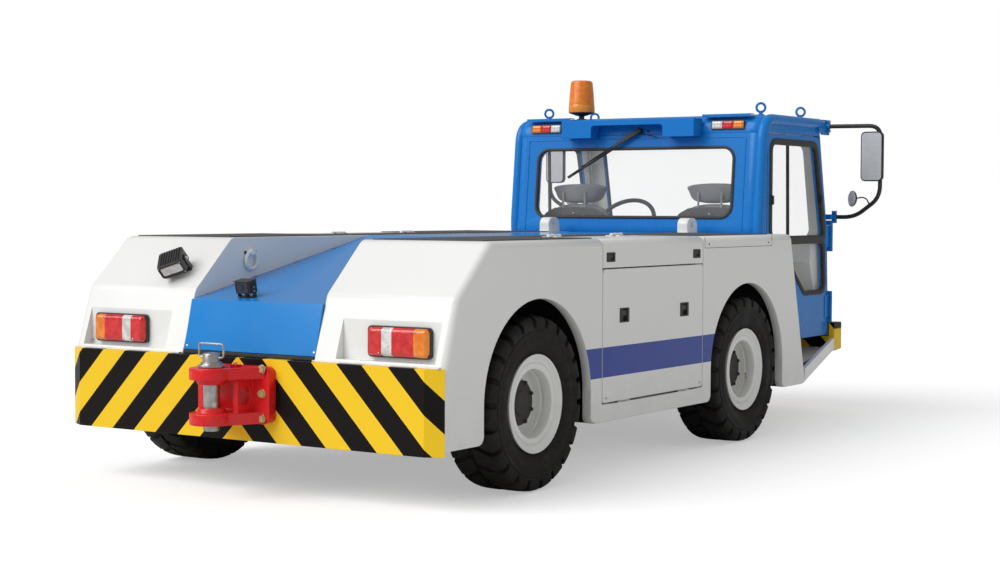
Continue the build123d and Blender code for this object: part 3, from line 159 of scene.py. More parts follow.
cab = {                                        # its faces from the side, (distance, height) from foot to roof
    "half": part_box("cab_side_right")[1].x, "roof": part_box("cab_roof")[1].z,
    "inset": 0.037, "lining": (0.84, 0.85, 0.83),
    "rear": ((3.838, 0.500), (3.680, 1.190), (3.750, 1.900)),
    "front": ((4.830, 0.500), (4.790, 1.190), (4.640, 1.900)),
}
wheelPlaces = {name: sum(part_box(f"tyre_{name}_right")[i].y for i in (0, 1)) / 2 for name in ("rear", "front")}
archMiddle = sum(wheelPlaces.values()) / 2


def bodyOverlay(x, y, z, colour):                  # blue stripe outside, near-black painted shade inside the wheel arches
    offSide = unsigned(x)
    band = product(calc("GREATER_THAN", offSide, halfWidth - stripe["skin"]),
                   calc("GREATER_THAN", z, stripe["low"]), calc("LESS_THAN", z, stripe["high"]))
    between = calc("LESS_THAN", unsigned(calc("SUBTRACT", y, archMiddle)), stripe["reach"])
    colour = mixColour(product(band, between), colour, stripe["colour"])
    rise = calc("SUBTRACT", z, archShade["centreHeight"])
    # painted shade: near-black inside each wheel arch, within its circle and below the axle, beyond the lip
    for axleY in wheelPlaces.values():
        run = calc("SUBTRACT", y, axleY)
        far = calc("SQRT", calc("ADD", product(rise, rise), product(run, run)))
        under = product(calc("LESS_THAN", rise, 0), calc("LESS_THAN", unsigned(run), archShade["radius"]))
        near = calc("MAXIMUM", calc("LESS_THAN", far, archShade["radius"]), under)
        inArchShade = product(near, calc("LESS_THAN", offSide, halfWidth - archShade["depth"]),
                        calc("GREATER_THAN", offSide, archShade["inner"]))
        colour = mixColour(inArchShade, colour, archShade["colour"])
    return colour


def chevronOverlay(x, y, z, colour):               # stripes that rise to a peak in the middle
    across = unsigned(calc("SUBTRACT", x, chevron["shift"]))
    turnsOut = calc("SUBTRACT", across, product(calc("SUBTRACT", chevron["top"], z), chevron["slope"]))
    start = chevron["offset"] + chevron["period"] * chevron["lead"]
    phase = calc("DIVIDE", calc("ADD", turnsOut, start), chevron["period"])
    black = calc("GREATER_THAN", calc("FRACT", phase), chevron["yellowShare"])
    return mixColour(black, chevron["yellow"], chevron["black"])


def cabOverlay(x, y, z, colour):                   # pale where it faces into the cab
    def line(low, high):
        lean = (high[0] - low[0]) / (high[1] - low[1])
        return calc("ADD", product(calc("SUBTRACT", z, low[1]), lean), back(low[0]))

    rear = calc("MAXIMUM", line(*cab["rear"][:2]), line(*cab["rear"][1:]))
    front = calc("MINIMUM", line(*cab["front"][:2]), line(*cab["front"][1:]))
    least = calc("SUBTRACT", y, rear)
    for depth in ((front, y), (cab["half"], unsigned(x)), (cab["roof"], z)):
        least = calc("MINIMUM", least, calc("SUBTRACT", *depth))
    return mixColour(calc("GREATER_THAN", least, cab["inset"]), colour, cab["lining"])


def paint(name, look=None, overlay=None):
    colour, second, rough, coat, shine = paintLooks[look or name]
    material, shader, place = startMaterial(f"{name}Paint", **{
        "Coat Weight": coat, "Coat Roughness": 0.07, "Specular IOR Level": shine})
    colour = mixColour(mapped(noise(place, grain["patchScale"], 4), 0.35, 0.65), colour, second)
    x, y, z = axesOf(place)
    smears = noise(place, grain["smearScale"], 5, 0.6)
    low = mapped(z, dirt["low"], dirt["high"], dirt["most"], 0)
    colour = mixColour(product(low, mapped(smears, 0.35, 0.7, 0.25, 1)), colour, dirt["colour"])
    if overlay:
        colour = overlay(x, y, z, colour)
    feed(shader, Base_Color=colour, Roughness=mapped(smears, 0.3, 0.7, *rough))
    addBump(shader, noise(place, grain["peelScale"], 2), grain["peelStrength"], grain["peelDepth"])
    return material


def plain(name, colour, second, rough, scale=30, metallic=0.0, bump=0.1, depth=0.0005):
    material, shader, place = startMaterial(name, metallic=metallic)
    cloud = noise(place, scale, 4, 0.6)
    feed(shader, Base_Color=mixColour(mapped(cloud, 0.3, 0.7), colour, second),
         Roughness=mapped(cloud, 0.3, 0.7, *rough))
    addBump(shader, noise(place, scale * 8), bump, depth)
    return material


def lensMaterial(name, colour, second, dotted=False):
    material, shader, place = startMaterial(name, 0.14 if dotted else 0.12, **{
        "Coat Weight": 0.6, "Coat Roughness": 0.05 if dotted else 0.04})
    x, y, z = axesOf(place)
    pitchX, pitchZ = (172, 145) if dotted else (520, 520)
    cells = product(*(unsigned(calc("SINE", product(*pair))) for pair in ((x, pitchX), (z, pitchZ))))
    if dotted:
        share = mapped(cells, 0.62, 0.85)
    else:
        share = product(mapped(noise(place, 28, 3, 0.6), 0.35, 0.68), mapped(cells, 0, 1, 0.55, 1))
    feed(shader, Base_Color=mixColour(share, colour, second))
    addBump(shader, cells, *((0.2, 0.001) if dotted else (0.25, 0.0012)))
    return material


def glassMaterial(name, tint, alpha):
    material, shader, place = startMaterial(name, 0.03, **{"Alpha": alpha, "Specular IOR Level": 0.9})
    darker = tuple(0.93 * t for t in tint)
    feed(shader, Base_Color=mixColour(mapped(noise(place, 1.6, 2), 0.3, 0.7), tint, darker))
    addBump(shader, noise(place, 0.8, 1), 0.02, 0.001)
    return material


def tyreMaterial():
    material, shader, place = startMaterial("tyreRubber", **{"Specular IOR Level": 0.22})
    patches = noise(place, 5)
    fine = mapped(noise(place, 34, 5, 0.65), 0.3, 0.75)
    colour = mixColour(fine, (0.008, 0.007, 0.0066), (0.020, 0.0175, 0.016))
    colour = mixColour(mapped(patches, 0.42, 0.7, 0, 0.35), colour, (0.040, 0.034, 0.029))
    feed(shader, Base_Color=colour, Roughness=mapped(patches, 0.3, 0.7, 0.5, 0.8))
    addBump(shader, noise(place, 260), 0.25, 0.0008)
    return material


def clothMaterial():
    material, shader, place = startMaterial("seatCloth", 0.85, **{
        "Sheen Weight": 0.3, "Sheen Roughness": 0.5})
    fibre = noise(place, 420, 3, 0.7)
    weave = mixColour(mapped(fibre, 0.3, 0.7), (0.105, 0.107, 0.113), (0.225, 0.228, 0.236))
    feed(shader, Base_Color=mixColour(mapped(noise(place, 9), 0.3, 0.75, 0, 0.3), weave, (0.27, 0.272, 0.28)))
    addBump(shader, fibre, 0.35, 0.0008)
    return material


looks = {                                          # every material, with its slot name
    "white": (paint("white"), "body_white"),
    "body": (paint("body", "white", bodyOverlay), "body_white"),
    "blue": (paint("blue"), "cab_blue"),
    "cab": (paint("cab", "blue", cabOverlay), "cab_blue"),
    "cover": (paint("cover"), "cover_blue"),
    "inside": (paint("inside"), "cab_inside"),
    "red": (paint("red"), "hitch_red"),
    "rim": (paint("rim"), "rim_paint"),
    "frame": (paint("frame"), "frame_paint"),
    "chevron": (paint("chevron", None, chevronOverlay), "bumper_paint"),
    "zinc": (plain("zincPlate", (0.62, 0.61, 0.58), (0.48, 0.47, 0.45), (0.22, 0.42), 60, 1.0), "pin_steel"),
    "gold": (plain("passivatedZinc", (0.74, 0.60, 0.30), (0.60, 0.47, 0.24), (0.25, 0.4), 90, 0.6),
             "pin_steel"),
    "pin": (plain("groundSteel", (0.58, 0.58, 0.57), (0.40, 0.40, 0.39), (0.25, 0.5), 35, 1.0, 0.25),
            "pin_steel"),
    "brass": (plain("brassValve", (0.68, 0.42, 0.11), (0.5, 0.3, 0.08), (0.25, 0.4), 60, 1.0), "pin_steel"),
    "seal": (plain("sealRubber", (0.028, 0.026, 0.026), (0.05, 0.046, 0.044), (0.5, 0.7), 40), "lamp_black"),
    "plastic": (plain("blackPlastic", (0.016, 0.016, 0.017), (0.028, 0.028, 0.029), (0.32, 0.5), 50, 0, 0.15),
                "lamp_black"),
    "hub": (plain("castHub", (0.026, 0.023, 0.021), (0.05, 0.042, 0.036), (0.5, 0.75), 30, 0, 0.5, 0.001),
            "frame_paint"),
    "engine": (plain("engineCasting", (0.06, 0.065, 0.07), (0.10, 0.10, 0.10), (0.5, 0.8), 20, 0.2, 0.6,
                     0.002), "engine_iron"),
    "shell": (plain("seatShell", (0.055, 0.056, 0.06), (0.08, 0.08, 0.085), (0.5, 0.65), 60, 0, 0.2),
              "seat_shell"),
    "grey": (plain("wheelGrip", (0.12, 0.12, 0.12), (0.16, 0.16, 0.16), (0.5, 0.65), 60, 0, 0.2),
             "lamp_black"),
    "grip": (plain("deckGrip", (0.055, 0.056, 0.058), (0.11, 0.112, 0.115), (0.6, 0.85), 160, 0, 0.6, 0.0012),
             "deck_grip"),
    "mirrorGlass": (plain("mirrorGlass", (0.64, 0.65, 0.66), (0.50, 0.51, 0.53), (0.08, 0.16), 3, 0.05, 0.01),
                    "window_glass"),
    "darkGlass": (plain("darkGlass", (0.010, 0.016, 0.045), (0.02, 0.028, 0.07), (0.06, 0.12), 20, 0, 0.01),
                  "window_glass"),
    "glass": (glassMaterial("windowGlass", (0.90, 0.93, 0.93), 0.045), "window_glass"),
    "rubber": (tyreMaterial(), "tyre_rubber"),
    "cloth": (clothMaterial(), "seat_cloth"),
    "piping": (plain("seatPiping", (0.06, 0.06, 0.064), (0.09, 0.09, 0.095), (0.6, 0.75), 80), "seat_cloth"),
    "redLens": (lensMaterial("redLens", (0.56, 0.006, 0.008), (0.85, 0.03, 0.03)), "tail_lens"),
    "amberLens": (lensMaterial("amberLens", (0.80, 0.16, 0.005), (0.95, 0.33, 0.02)), "tail_lens"),
    "clearLens": (lensMaterial("clearLens", (0.55, 0.55, 0.54), (0.92, 0.92, 0.90)), "head_lens"),
    "redDots": (lensMaterial("redDots", (0.62, 0.012, 0.014), (0.86, 0.10, 0.12), True), "tail_lens"),
    "amberDots": (lensMaterial("amberDots", (0.86, 0.20, 0.01), (0.98, 0.50, 0.10), True), "tail_lens"),
    "clearDots": (lensMaterial("clearDots", (0.62, 0.62, 0.61), (0.95, 0.95, 0.94), True), "tail_lens"),
    "beaconLens": (lensMaterial("beaconLens", (0.88, 0.19, 0.004), (1.0, 0.29, 0.014)), "beacon_amber"),
    "beaconCollar": (plain("beaconCollar", (0.90, 0.34, 0.045), (0.82, 0.26, 0.03), (0.15, 0.25), 14, 0,
                           0.05), "beacon_amber"),
}
print("materials made")


# small helpers for meshes
def softenEdges(thing, width):
    bevel = thing.modifiers.new("edges", "BEVEL")
    bevel.width = width
    bevel.segments = 2
    bevel.limit_method = "ANGLE"
    bevel.angle_limit = radians(32)
    bevel.harden_normals = True
    bevel.use_clamp_overlap = False


def dress(name, look, edge=0.0):
    thing = nodes[name]
    if not thing.material_slots:
        thing.data.materials.append(looks[look][0])
    for spot in thing.material_slots:
        spot.material = looks[look][0]
    if edge:
        thing.modifiers.new("joined", "WELD").merge_threshold = 0.00002
        softenEdges(thing, edge)


def tidied(shape):
    bmesh.ops.remove_doubles(shape, verts=shape.verts, dist=0.00001)
    bmesh.ops.recalc_face_normals(shape, faces=shape.faces)
    return shape


def addPiece(name, shape, look, body="chassis", slotName=None, edge=0.0, sharp=35, stands=(), clean=True):
    mesh = bpy.data.meshes.new(name)
    (tidied(shape) if clean else shape).to_mesh(mesh)
    shape.free()
    keys = [look] if isinstance(look, str) else look
    for key in keys:
        mesh.materials.append(looks[key][0])
    mesh.polygons.foreach_set("use_smooth", [True] * len(mesh.polygons))
    mesh.set_sharp_from_angle(angle=radians(sharp))
    thing = bpy.data.objects.new(name, mesh)
    bpy.context.scene.collection.objects.link(thing)
    if edge:
        softenEdges(thing, edge)
    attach(thing, body)
    if stands:
        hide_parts(*stands)
    slotName = slotName or looks[keys[0]][1]
    return thing


def bothSides(name, build, look, bodies="chassis", slotName=None, edge=0.0, sharp=35, stands=()):
    for side, sign in sides:                       # build fills the right side's shape
        shape = bmesh.new()
        build(shape)
        if sign < 0:
            mirrored(shape.verts)
        body = bodies if bodies == "chassis" else f"{bodies}_{side}"
        addPiece(f"{name}_{side}", shape, look, body, slotName, edge, sharp, [f"{s}_{side}" for s in stands])


def mirrored(verts):
    for vert in verts:
        vert.co.x = -vert.co.x


def withMirror(shape):                             # the shape and its mirror image
    copied = bmesh.ops.duplicate(shape, geom=shape.verts[:] + shape.edges[:] + shape.faces[:])["geom"]
    mirrored([part for part in copied if isinstance(part, bmesh.types.BMVert)])
    return shape


def loopFaces(shape, rings, closeEnds=False):
    for ring, following in zip(rings, rings[1:]):
        for i in range(len(ring)):
            j = (i + 1) % len(ring)
            shape.faces.new((ring[i], ring[j], following[j], following[i]))
    if closeEnds:
        shape.faces.new(list(reversed(rings[0])))
        shape.faces.new(rings[-1])


def newRing(shape, points, plane=Matrix()):
    return [shape.verts.new(plane @ Vector(point)) for point in points]


def circleOf(radius, count):
    return [(radius * cos(tau * i / count), radius * sin(tau * i / count)) for i in range(count)]


def rect(lowX, lowY, highX, highY):
    return [(lowX, lowY), (highX, lowY), (highX, highY), (lowX, highY)]


def centred(halfX, halfY):
    return rect(-halfX, -halfY, halfX, halfY)


def slabPart(shape, outline, plane, low, high):
    loopFaces(shape, [newRing(shape, [(x, y, z) for x, y in outline], plane) for z in (low, high)], True)


def boxPart(shape, low, high):
    slabPart(shape, rect(low[0], low[1], high[0], high[1]), Matrix(), low[2], high[2])


def axisFrame(place, direction):
    along = Vector(direction).normalized()
    hint = Vector(upward)
    if abs(along.z) > 0.95:
        hint = Vector((0, 1, 0))
    first = hint.cross(along).normalized()
    turn = Matrix((first, along.cross(first), along)).transposed().to_4x4()
    return Matrix.Translation(Vector(place)) @ turn


def spotOn(plane, x=0.0, y=0.0, z=0.0, out=upward):
    return plane @ Vector((x, y, z)), plane.to_3x3() @ Vector(out)


def turnedPart(shape, profile, place, direction, segments=32, closed=False):
    turn = axisFrame(place, direction)             # the profile holds (along the axis, radius) pairs
    rings = []
    for along, radius in profile:
        rings.append(newRing(shape, [(x, y, along) for x, y in circleOf(radius, segments)], turn))
    loopFaces(shape, rings + rings[:1] if closed else rings, not closed)


def boltPart(shape, place, direction, size):
    washer = [(0, size * 1.05), (size * 0.16, size * 1.05), (size * 0.2, size)]
    turnedPart(shape, washer, place, direction, 20)
    head = [(size * 0.2, size * 0.92 * 0.98), (size * 0.7, size * 0.92), (size * 0.82, size * 0.92 * 0.86)]
    turnedPart(shape, head, place, direction, 6)


def screwPart(shape, place, direction, radius):
    profile = [(0, 1), (0.25, 1), (0.55, 0.72), (0.66, 0.35)]
    turnedPart(shape, [(radius * a, radius * b) for a, b in profile], place, direction, 14)


def roundedLoop(width, height, radius, steps=6):
    points = []
    for cornerX, cornerY, start in ((1, 1, 0), (-1, 1, 90), (-1, -1, 180), (1, -1, 270)):
        for step in range(steps + 1):
            angle = radians(start + 90 * step / steps)
            points.append((cornerX * (width / 2 - radius) + radius * cos(angle),
                           cornerY * (height / 2 - radius) + radius * sin(angle)))
    return points


def bentCorner(before, here, after, reach, steps):
    start, end = here + (before - here).normalized() * reach, here + (after - here).normalized() * reach
    shares = [step / steps for step in range(steps + 1)]
    return [(1 - t) ** 2 * start + 2 * t * (1 - t) * here + t ** 2 * end for t in shares]


def roundCorners(points, radius, steps=5):
    made = []
    for i in range(len(points)):
        before, here, after = (Vector(points[j % len(points)]) for j in (i - 1, i, i + 1))
        half = (before - here).angle(after - here) / 2
        reach = min(radius / max(0.05, abs(sin(half) / cos(half))),
                    0.45 * min((before - here).length, (after - here).length))
        made += bentCorner(before, here, after, reach, steps)
    return made


def ringAlong(shape, outline, plane, section):     # a closed strip; the section holds (outward, height) pairs
    rings = []
    for i in range(len(outline)):
        before, here, after = (Vector(outline[j % len(outline)]) for j in (i - 1, i, i + 1))
        tangent = (after - before).normalized()
        rings.append(newRing(shape, [(here.x + tangent.y * off, here.y - tangent.x * off, rise)
                                     for off, rise in section], plane))
    loopFaces(shape, rings + rings[:1])


def tubePart(shape, points, radius, sides=12, corner=0.0):
    route = [Vector(p) for p in points]            # round bar along a bent route
    if corner:
        bent = [route[0]]
        for before, here, after in zip(route, route[1:], route[2:]):
            reach = min(corner, 0.48 * (before - here).length, 0.48 * (after - here).length)
            bent += bentCorner(before, here, after, reach, 7)
        route = bent + [route[-1]]
    rings = []
    for i, here in enumerate(route):
        tangent = (route[min(i + 1, len(route) - 1)] - route[max(i - 1, 0)]).normalized()
        normal = normal if i else tangent.orthogonal().normalized()
        normal = (normal - tangent * normal.dot(tangent)).normalized()
        other = tangent.cross(normal)
        rings.append(newRing(shape, [here + normal * x + other * y for x, y in circleOf(radius, sides)]))
    loopFaces(shape, rings, True)


def lineAt(points, height):
    low, high = points[:2] if height < points[1][1] else points[1:]
    return low[0] + (high[0] - low[0]) * (height - low[1]) / (high[1] - low[1])


def sidePlane(x):                                  # distance, height and outward on the right side
    return Matrix(((0, 0, 1, x), (1, 0, 0, rearFace), (0, 1, 0, 0), (0, 0, 0, 1)))


def rearPlane(x, y, z):                            # across, up and towards the rear
    return Matrix(((1, 0, 0, x), (0, 0, -1, y), (0, 1, 0, z), (0, 0, 0, 1)))


def wallPlane(points, height, hand=1):             # across, up the wall and outward
    up = Vector((0, points[2][0] - points[1][0], points[2][1] - points[1][1])).normalized()
    across = Vector((hand, 0, 0))
    turn = Matrix((across, up, across.cross(up))).transposed().to_4x4()
    return Matrix.Translation((0, back(lineAt(points, height)), height)) @ turn


def slopePlane(place, slope, turn=0):
    x, distance, z = place
    lean = Matrix.Translation((x, back(distance), z)) @ Matrix.Rotation(radians(slope), 4, "X")
    return lean @ Matrix.Rotation(radians(turn), 4, "Z")


# what comes straight from the frame: (look, edge) and the nodes
dressing = (
    ("body", 0.003, "body_left body_right service_door_left service_door_right"),
    ("body", 0.003, "service_lid_left service_lid_right"),
    ("white", 0.002, "step_left step_right tie_hooks"),
    ("white", 0.004, "lifting_lugs"),
    ("cover", 0.003, "engine_cover"),
    ("cab", 0.003, "cab_front cab_rear_wall cab_side_left cab_side_right cab_roof door_left door_right"),
    ("blue", 0.003, "roof_header"),
    ("blue", 0, "roof_eyes"),
    ("inside", 0.004, "cab_floor dashboard"),
    ("chevron", 0.002, "rear_bumper front_bumper"),
    ("red", 0.004, "rear_hitch front_hitch"),
    ("pin", 0.002, "hitch_pin"),
    ("frame", 0.003, "frame_rails cross_plates front_axle rear_axle knuckle_left knuckle_right"),
    ("engine", 0.01, "engine_block"),
    ("plastic", 0, "rear_wiper steering_wheel mirror_left mirror_right work_lamp rear_camera head_lamps"),
    ("plastic", 0, "beacon tail_lamps roof_lamps"),
    ("shell", 0.01, "seat_frames"),
    ("glass", 0, "cab_glass door_glass_left door_glass_right"),
    ("grip", 0.0008, "deck_plates"),
)
for look, edge, names in dressing:
    for name in names.split():
        dress(name, look, edge)
print("panels dressed")


def placed(plane, *points):
    return [plane @ Vector(point) for point in points]


def hoopPart(shape, plane, radius, wire, count, wireCount):
    ringAlong(shape, circleOf(radius, count), plane, circleOf(wire, wireCount))


def domed(nearX, nearY, edge):                     # how far a pillow has risen, this near to its edges
    return min(1, nearX / edge) ** 0.5 * min(1, nearY / edge) ** 0.5


def gridFaces(shape, grid, indices):
    for column, following, index in zip(grid, grid[1:], indices):
        for i in range(len(column) - 1):
            shape.faces.new((column[i], following[i], following[i + 1], column[i + 1])).material_index = index


# wheels: profiles are (outward from the wheel's middle, radius)
tyre = {
    "pitches": 22, "lugShare": 0.73, "wallShare": 0.045, "slantShare": 0.42, "slantWidth": 0.085,
    "middleGroove": 0.006,
    "lug": [(0.006, 0.393), (0.010, 0.4115), (0.035, 0.412), (0.075, 0.4115), (0.105, 0.4095),
            (0.121, 0.4045), (0.1295, 0.396), (0.1335, 0.384), (0.1345, 0.370), (0.1345, 0.356)],
    "groove": [(0.006, 0.393), (0.010, 0.392), (0.035, 0.391), (0.075, 0.390), (0.105, 0.386), (0.114, 0.380),
               (0.119, 0.373), (0.1225, 0.366), (0.127, 0.360), (0.1345, 0.355)],
    "wall": [(0.1325, 0.350), (0.1325, 0.345), (0.1355, 0.342), (0.1355, 0.335), (0.1335, 0.332),
             (0.1335, 0.318), (0.1345, 0.305), (0.1325, 0.285), (0.128, 0.266), (0.1215, 0.251),
             (0.1165, 0.243), (0.1135, 0.2405), (0.1135, 0.2345), (0.108, 0.2285), (0.096, 0.222)],
}
rim = {
    "face": [(0.096, 0.221), (0.110, 0.2275), (0.119, 0.2315), (0.1235, 0.2325), (0.1262, 0.230),
             (0.1258, 0.2255), (0.121, 0.2205), (0.1135, 0.2135), (0.1085, 0.2065), (0.1072, 0.2015),
             (0.1080, 0.2000), (0.1095, 0.1985), (0.1100, 0.1945), (0.1062, 0.1935), (0.1062, 0.1925), (0.1102, 0.1915),
             (0.1118, 0.1890), (0.1122, 0.1780), (0.1110, 0.1690), (0.1070, 0.1635), (0.0990, 0.1612),
             (0.0800, 0.1608), (0.0650, 0.1612), (0.0620, 0.1640), (0.0560, 0.1652), (0.0500, 0.1640),
             (0.0470, 0.1608), (0.0250, 0.1585), (0.0120, 0.1530), (0.0055, 0.1430), (0.0045, 0.1300),
             (0.0045, 0.1100)],
    "back": [(-0.0115, 0.110), (-0.0115, 0.185), (-0.080, 0.190), (-0.1135, 0.2135), (-0.1225, 0.228),
             (-0.110, 0.2285), (-0.096, 0.221)],
    "hub": [(0.0045, 0.112), (0.030, 0.1085), (0.0365, 0.105), (0.0385, 0.100), (0.0385, 0.062),
            (0.044, 0.058), (0.046, 0.052), (0.046, 0.02)],
    "nuts": 8, "nutCircle": 0.098, "nutFace": 0.0385, "nutSize": 0.0105, "valveCircle": 0.160,
    "valves": {"rear": (118, 0.060, 0.030), "front": (-24, 0.065, 0.085)},
}
wheelLooks = {"tyre": "rubber", "rim": "rim", "hub": "hub", "valve": "brass"}


def tyreShape(shape):
    lugEnd, wall = tyre["lugShare"], tyre["wallShare"]
    stations = [(0, True), (lugEnd * 0.5, True), (lugEnd, True), (lugEnd + wall, False), (1 - wall, False)]
    half = list(zip(tyre["lug"], tyre["groove"])) + [(w, w) for w in tyre["wall"]]
    columns = [(-1, *pair) for pair in reversed(half)] + [(1, *pair) for pair in half]
    rings = []
    for pitch in range(tyre["pitches"]):
        for share, isLug in stations:
            ring = []
            for hand, lug, groove in columns:
                reach = (lug[0] - tyre["middleGroove"]) / tyre["slantWidth"]
                slant = tyre["slantShare"] * min(1, max(0, reach))
                turn = tau * (pitch + share + slant + (0.5 if hand > 0 else 0)) / tyre["pitches"]
                outward, radius = lug if isLug else groove
                ring.append((hand * outward, radius * cos(turn), radius * sin(turn)))
            rings.append(newRing(shape, ring))
    loopFaces(shape, rings + rings[:1])


def wheelShapes(axle):
    shapes = {label: bmesh.new() for label in wheelLooks}
    centre, outward = (0, 0, 0), (1, 0, 0)
    tyreShape(shapes["tyre"])
    turnedPart(shapes["rim"], rim["face"] + rim["back"], centre, outward, 96, True)
    turnedPart(shapes["hub"], rim["hub"], centre, outward, 64)
    for i in range(rim["nuts"]):
        turn = tau * (i + 0.5) / rim["nuts"]
        spot = (rim["nutFace"], rim["nutCircle"] * cos(turn), rim["nutCircle"] * sin(turn))
        boltPart(shapes["hub"], spot, outward, rim["nutSize"])
    angle, depth, length = rim["valves"][axle]
    turn = radians(angle)
    foot = Vector((depth, rim["valveCircle"] * cos(turn), rim["valveCircle"] * sin(turn)))
    inward = Vector((0.35, -cos(turn), -sin(turn))).normalized()
    tubePart(shapes["valve"], [foot, foot + inward * length], 0.0034)
    tubePart(shapes["valve"], [foot + inward * (length - 0.012), foot + inward * (length + 0.006)], 0.0052)
    return shapes


for axle in wheelPlaces:
    for side, sign in sides:
        low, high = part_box(f"tyre_{axle}_{side}")
        for label, shape in wheelShapes(axle).items():
            if sign < 0:
                mirrored(shape.verts)
            bmesh.ops.recalc_face_normals(shape, faces=shape.faces)
            bmesh.ops.translate(shape, verts=shape.verts, vec=(low + high) / 2)
            stands = [f"{label}_{axle}_{side}"] if label in ("tyre", "rim") else []
            addPiece(f"{label}Of_{axle}_{side}", shape, wheelLooks[label], f"wheel_{axle}_{side}",
                     stands=stands, clean=False)
print("wheels made")

# tail lamps: a box with a pillow-shaped cover in three colours
tailLamp = {
    "sections": ((0, 0.255, "redLens"), (0.255, 0.42, "clearLens"), (0.42, 0.775, "redLens"),
                 (0.775, 1, "amberLens")),
    "bezel": 0.0045, "crown": 0.022, "base": 0.024, "radius": 0.020, "columns": 24, "rows": 12, "edge": 0.012,
    "screw": 0.0042, "screwShares": (0.22, 0.80), "screwInset": 0.020, "overlap": 0.003,
}


def tailLensShape(low, high, sign):                # columns along X, rows along Z
    shape = bmesh.new()
    width, height, radius = high[0] - low[0], high[2] - low[2], tailLamp["radius"]
    columns, rows, sections = tailLamp["columns"], tailLamp["rows"], tailLamp["sections"]
    cuts = sorted({s[0] for s in sections} | {i / columns for i in range(columns + 1)})
    grid = []
    for cut in cuts:
        x = low[0] + width * (cut if sign > 0 else 1 - cut)
        nearX = min(cut, 1 - cut) * width
        shrink = radius - max(0, radius ** 2 - max(0, radius - nearX) ** 2) ** 0.5
        column = []
        for up in (row / rows for row in range(rows + 1)):
            lift = tailLamp["crown"] * domed(nearX, min(up, 1 - up) * height, tailLamp["edge"])
            column.append((x, low[1] - lift, low[2] + shrink + (height - 2 * shrink) * up))
        grid.append(newRing(shape, column))
    middles = [(a + b) / 2 for a, b in zip(cuts, cuts[1:])]
    gridFaces(shape, grid, [next(n for n, s in enumerate(sections) if s[0] <= m <= s[1]) for m in middles])
    bmesh.ops.recalc_face_normals(shape, faces=shape.faces)
    if sum(f.normal.y for f in shape.faces) > 0:
        bmesh.ops.reverse_faces(shape, faces=shape.faces)
    return shape


low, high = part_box("tail_lamps")
inner = min(abs(v.co.x) for v in nodes["tail_lamps"].data.vertices)
for side, sign in sides:
    start, end = sorted((sign * inner, sign * high.x))
    housing, screws = bmesh.new(), bmesh.new()
    slabPart(housing, roundedLoop(end - start, high.z - low.z, tailLamp["radius"], 8),
             rearPlane((start + end) / 2, high.y, (low.z + high.z) / 2),
             0, high.y - low.y - tailLamp["base"] + tailLamp["overlap"])
    stands = ["tail_lamps"] if sign > 0 else []
    addPiece(f"tailLampHousing_{side}", housing, "plastic", edge=0.003, stands=stands)
    bezel, baseY = tailLamp["bezel"], low.y + tailLamp["base"]
    cover = tailLensShape((start + bezel, baseY, low.z + bezel), (end - bezel, low.y, high.z - bezel), sign)
    addPiece(f"tailLampLens_{side}", cover, [s[2] for s in tailLamp["sections"]], sharp=60, clean=False)
    for cut in tailLamp["screwShares"]:
        x = start + (end - start) * (cut if sign > 0 else 1 - cut)
        for z in (low.z + tailLamp["screwInset"], high.z - tailLamp["screwInset"]):
            screwPart(screws, (x, baseY - tailLamp["crown"] + 0.0005, z), (0, -1, 0), tailLamp["screw"])
    addPiece(f"tailLampScrews_{side}", screws, "zinc")
print("tail lamps made")

# rubber seals of the rear window and the windscreen: name, face, height of the middle, width, tall, hand
seal = {
    "section": [(-0.009, 0.000), (-0.008, 0.005), (-0.003, 0.0085), (0.005, 0.0085), (0.0095, 0.005),
                (0.0105, -0.002), (-0.009, -0.006)],
    "windows": (("rearWindowSeal", "rear", 1.485, 1.400, 0.432, 1),
                ("windscreenSeal", "front", 1.4525, 1.500, 0.659, -1)),
    "radius": 0.075,
}
for name, face, height, width, tall, hand in seal["windows"]:
    shape = bmesh.new()
    plane = wallPlane(cab[face], height, hand)
    ringAlong(shape, roundedLoop(width, tall, seal["radius"], 10), plane, seal["section"])
    addPiece(name, shape, "seal", sharp=50)

# tubular corner posts that bend into the roof's side rails
post = {"radius": 0.034, "x": 0.868, "inset": 0.030, "foot": 1.00, "frontEnd": 4.615, "bend": 0.12}
waist, roof = cab["rear"][1][1], cab["roof"]


def postShape(shape):
    x, top = post["x"], roof - post["inset"]
    route = [(x, back(lineAt(cab["rear"], z) + post["inset"]), z) for z in (post["foot"], waist, top)]
    tubePart(shape, route + [(x, back(post["frontEnd"]), top)], post["radius"], 20, post["bend"])


bothSides("cornerPost", postShape, "blue", sharp=50)

# raised edge round the rear window's panel and the thin lip along the roof's rear edge
panelEdge = {"half": 0.775, "top": 1.762, "lean": 5.63, "radius": 0.0035, "bend": 0.02,
             "lip": (0.474, 0.80), "lipOut": 0.012, "lipIn": 0.05, "lipRise": 0.004, "lipDrop": 0.014}
shape = bmesh.new()
half, tall = panelEdge["half"], (panelEdge["top"] - waist) / cos(radians(panelEdge["lean"]))
route = [(x, y, 0.0005) for x, y in ((-half, 0), (-half, tall), (half, tall), (half, 0))]
tubePart(shape, placed(wallPlane(cab["rear"], waist), *route), panelEdge["radius"], 8, panelEdge["bend"])
lipY = back(lineAt(cab["rear"], roof))
outerY = lipY - panelEdge["lipOut"]
for _, sign in sides:
    start, end = sorted(sign * x for x in panelEdge["lip"])
    innerEnd = (end, lipY + panelEdge["lipIn"], roof + panelEdge["lipRise"])
    boxPart(shape, (start, outerY, roof - 0.001), innerEnd)
    boxPart(shape, (start, outerY, roof - panelEdge["lipDrop"]), (end, lipY - 0.008, roof + 0.001))
addPiece("rearPanelEdges", shape, "blue", edge=0.001)

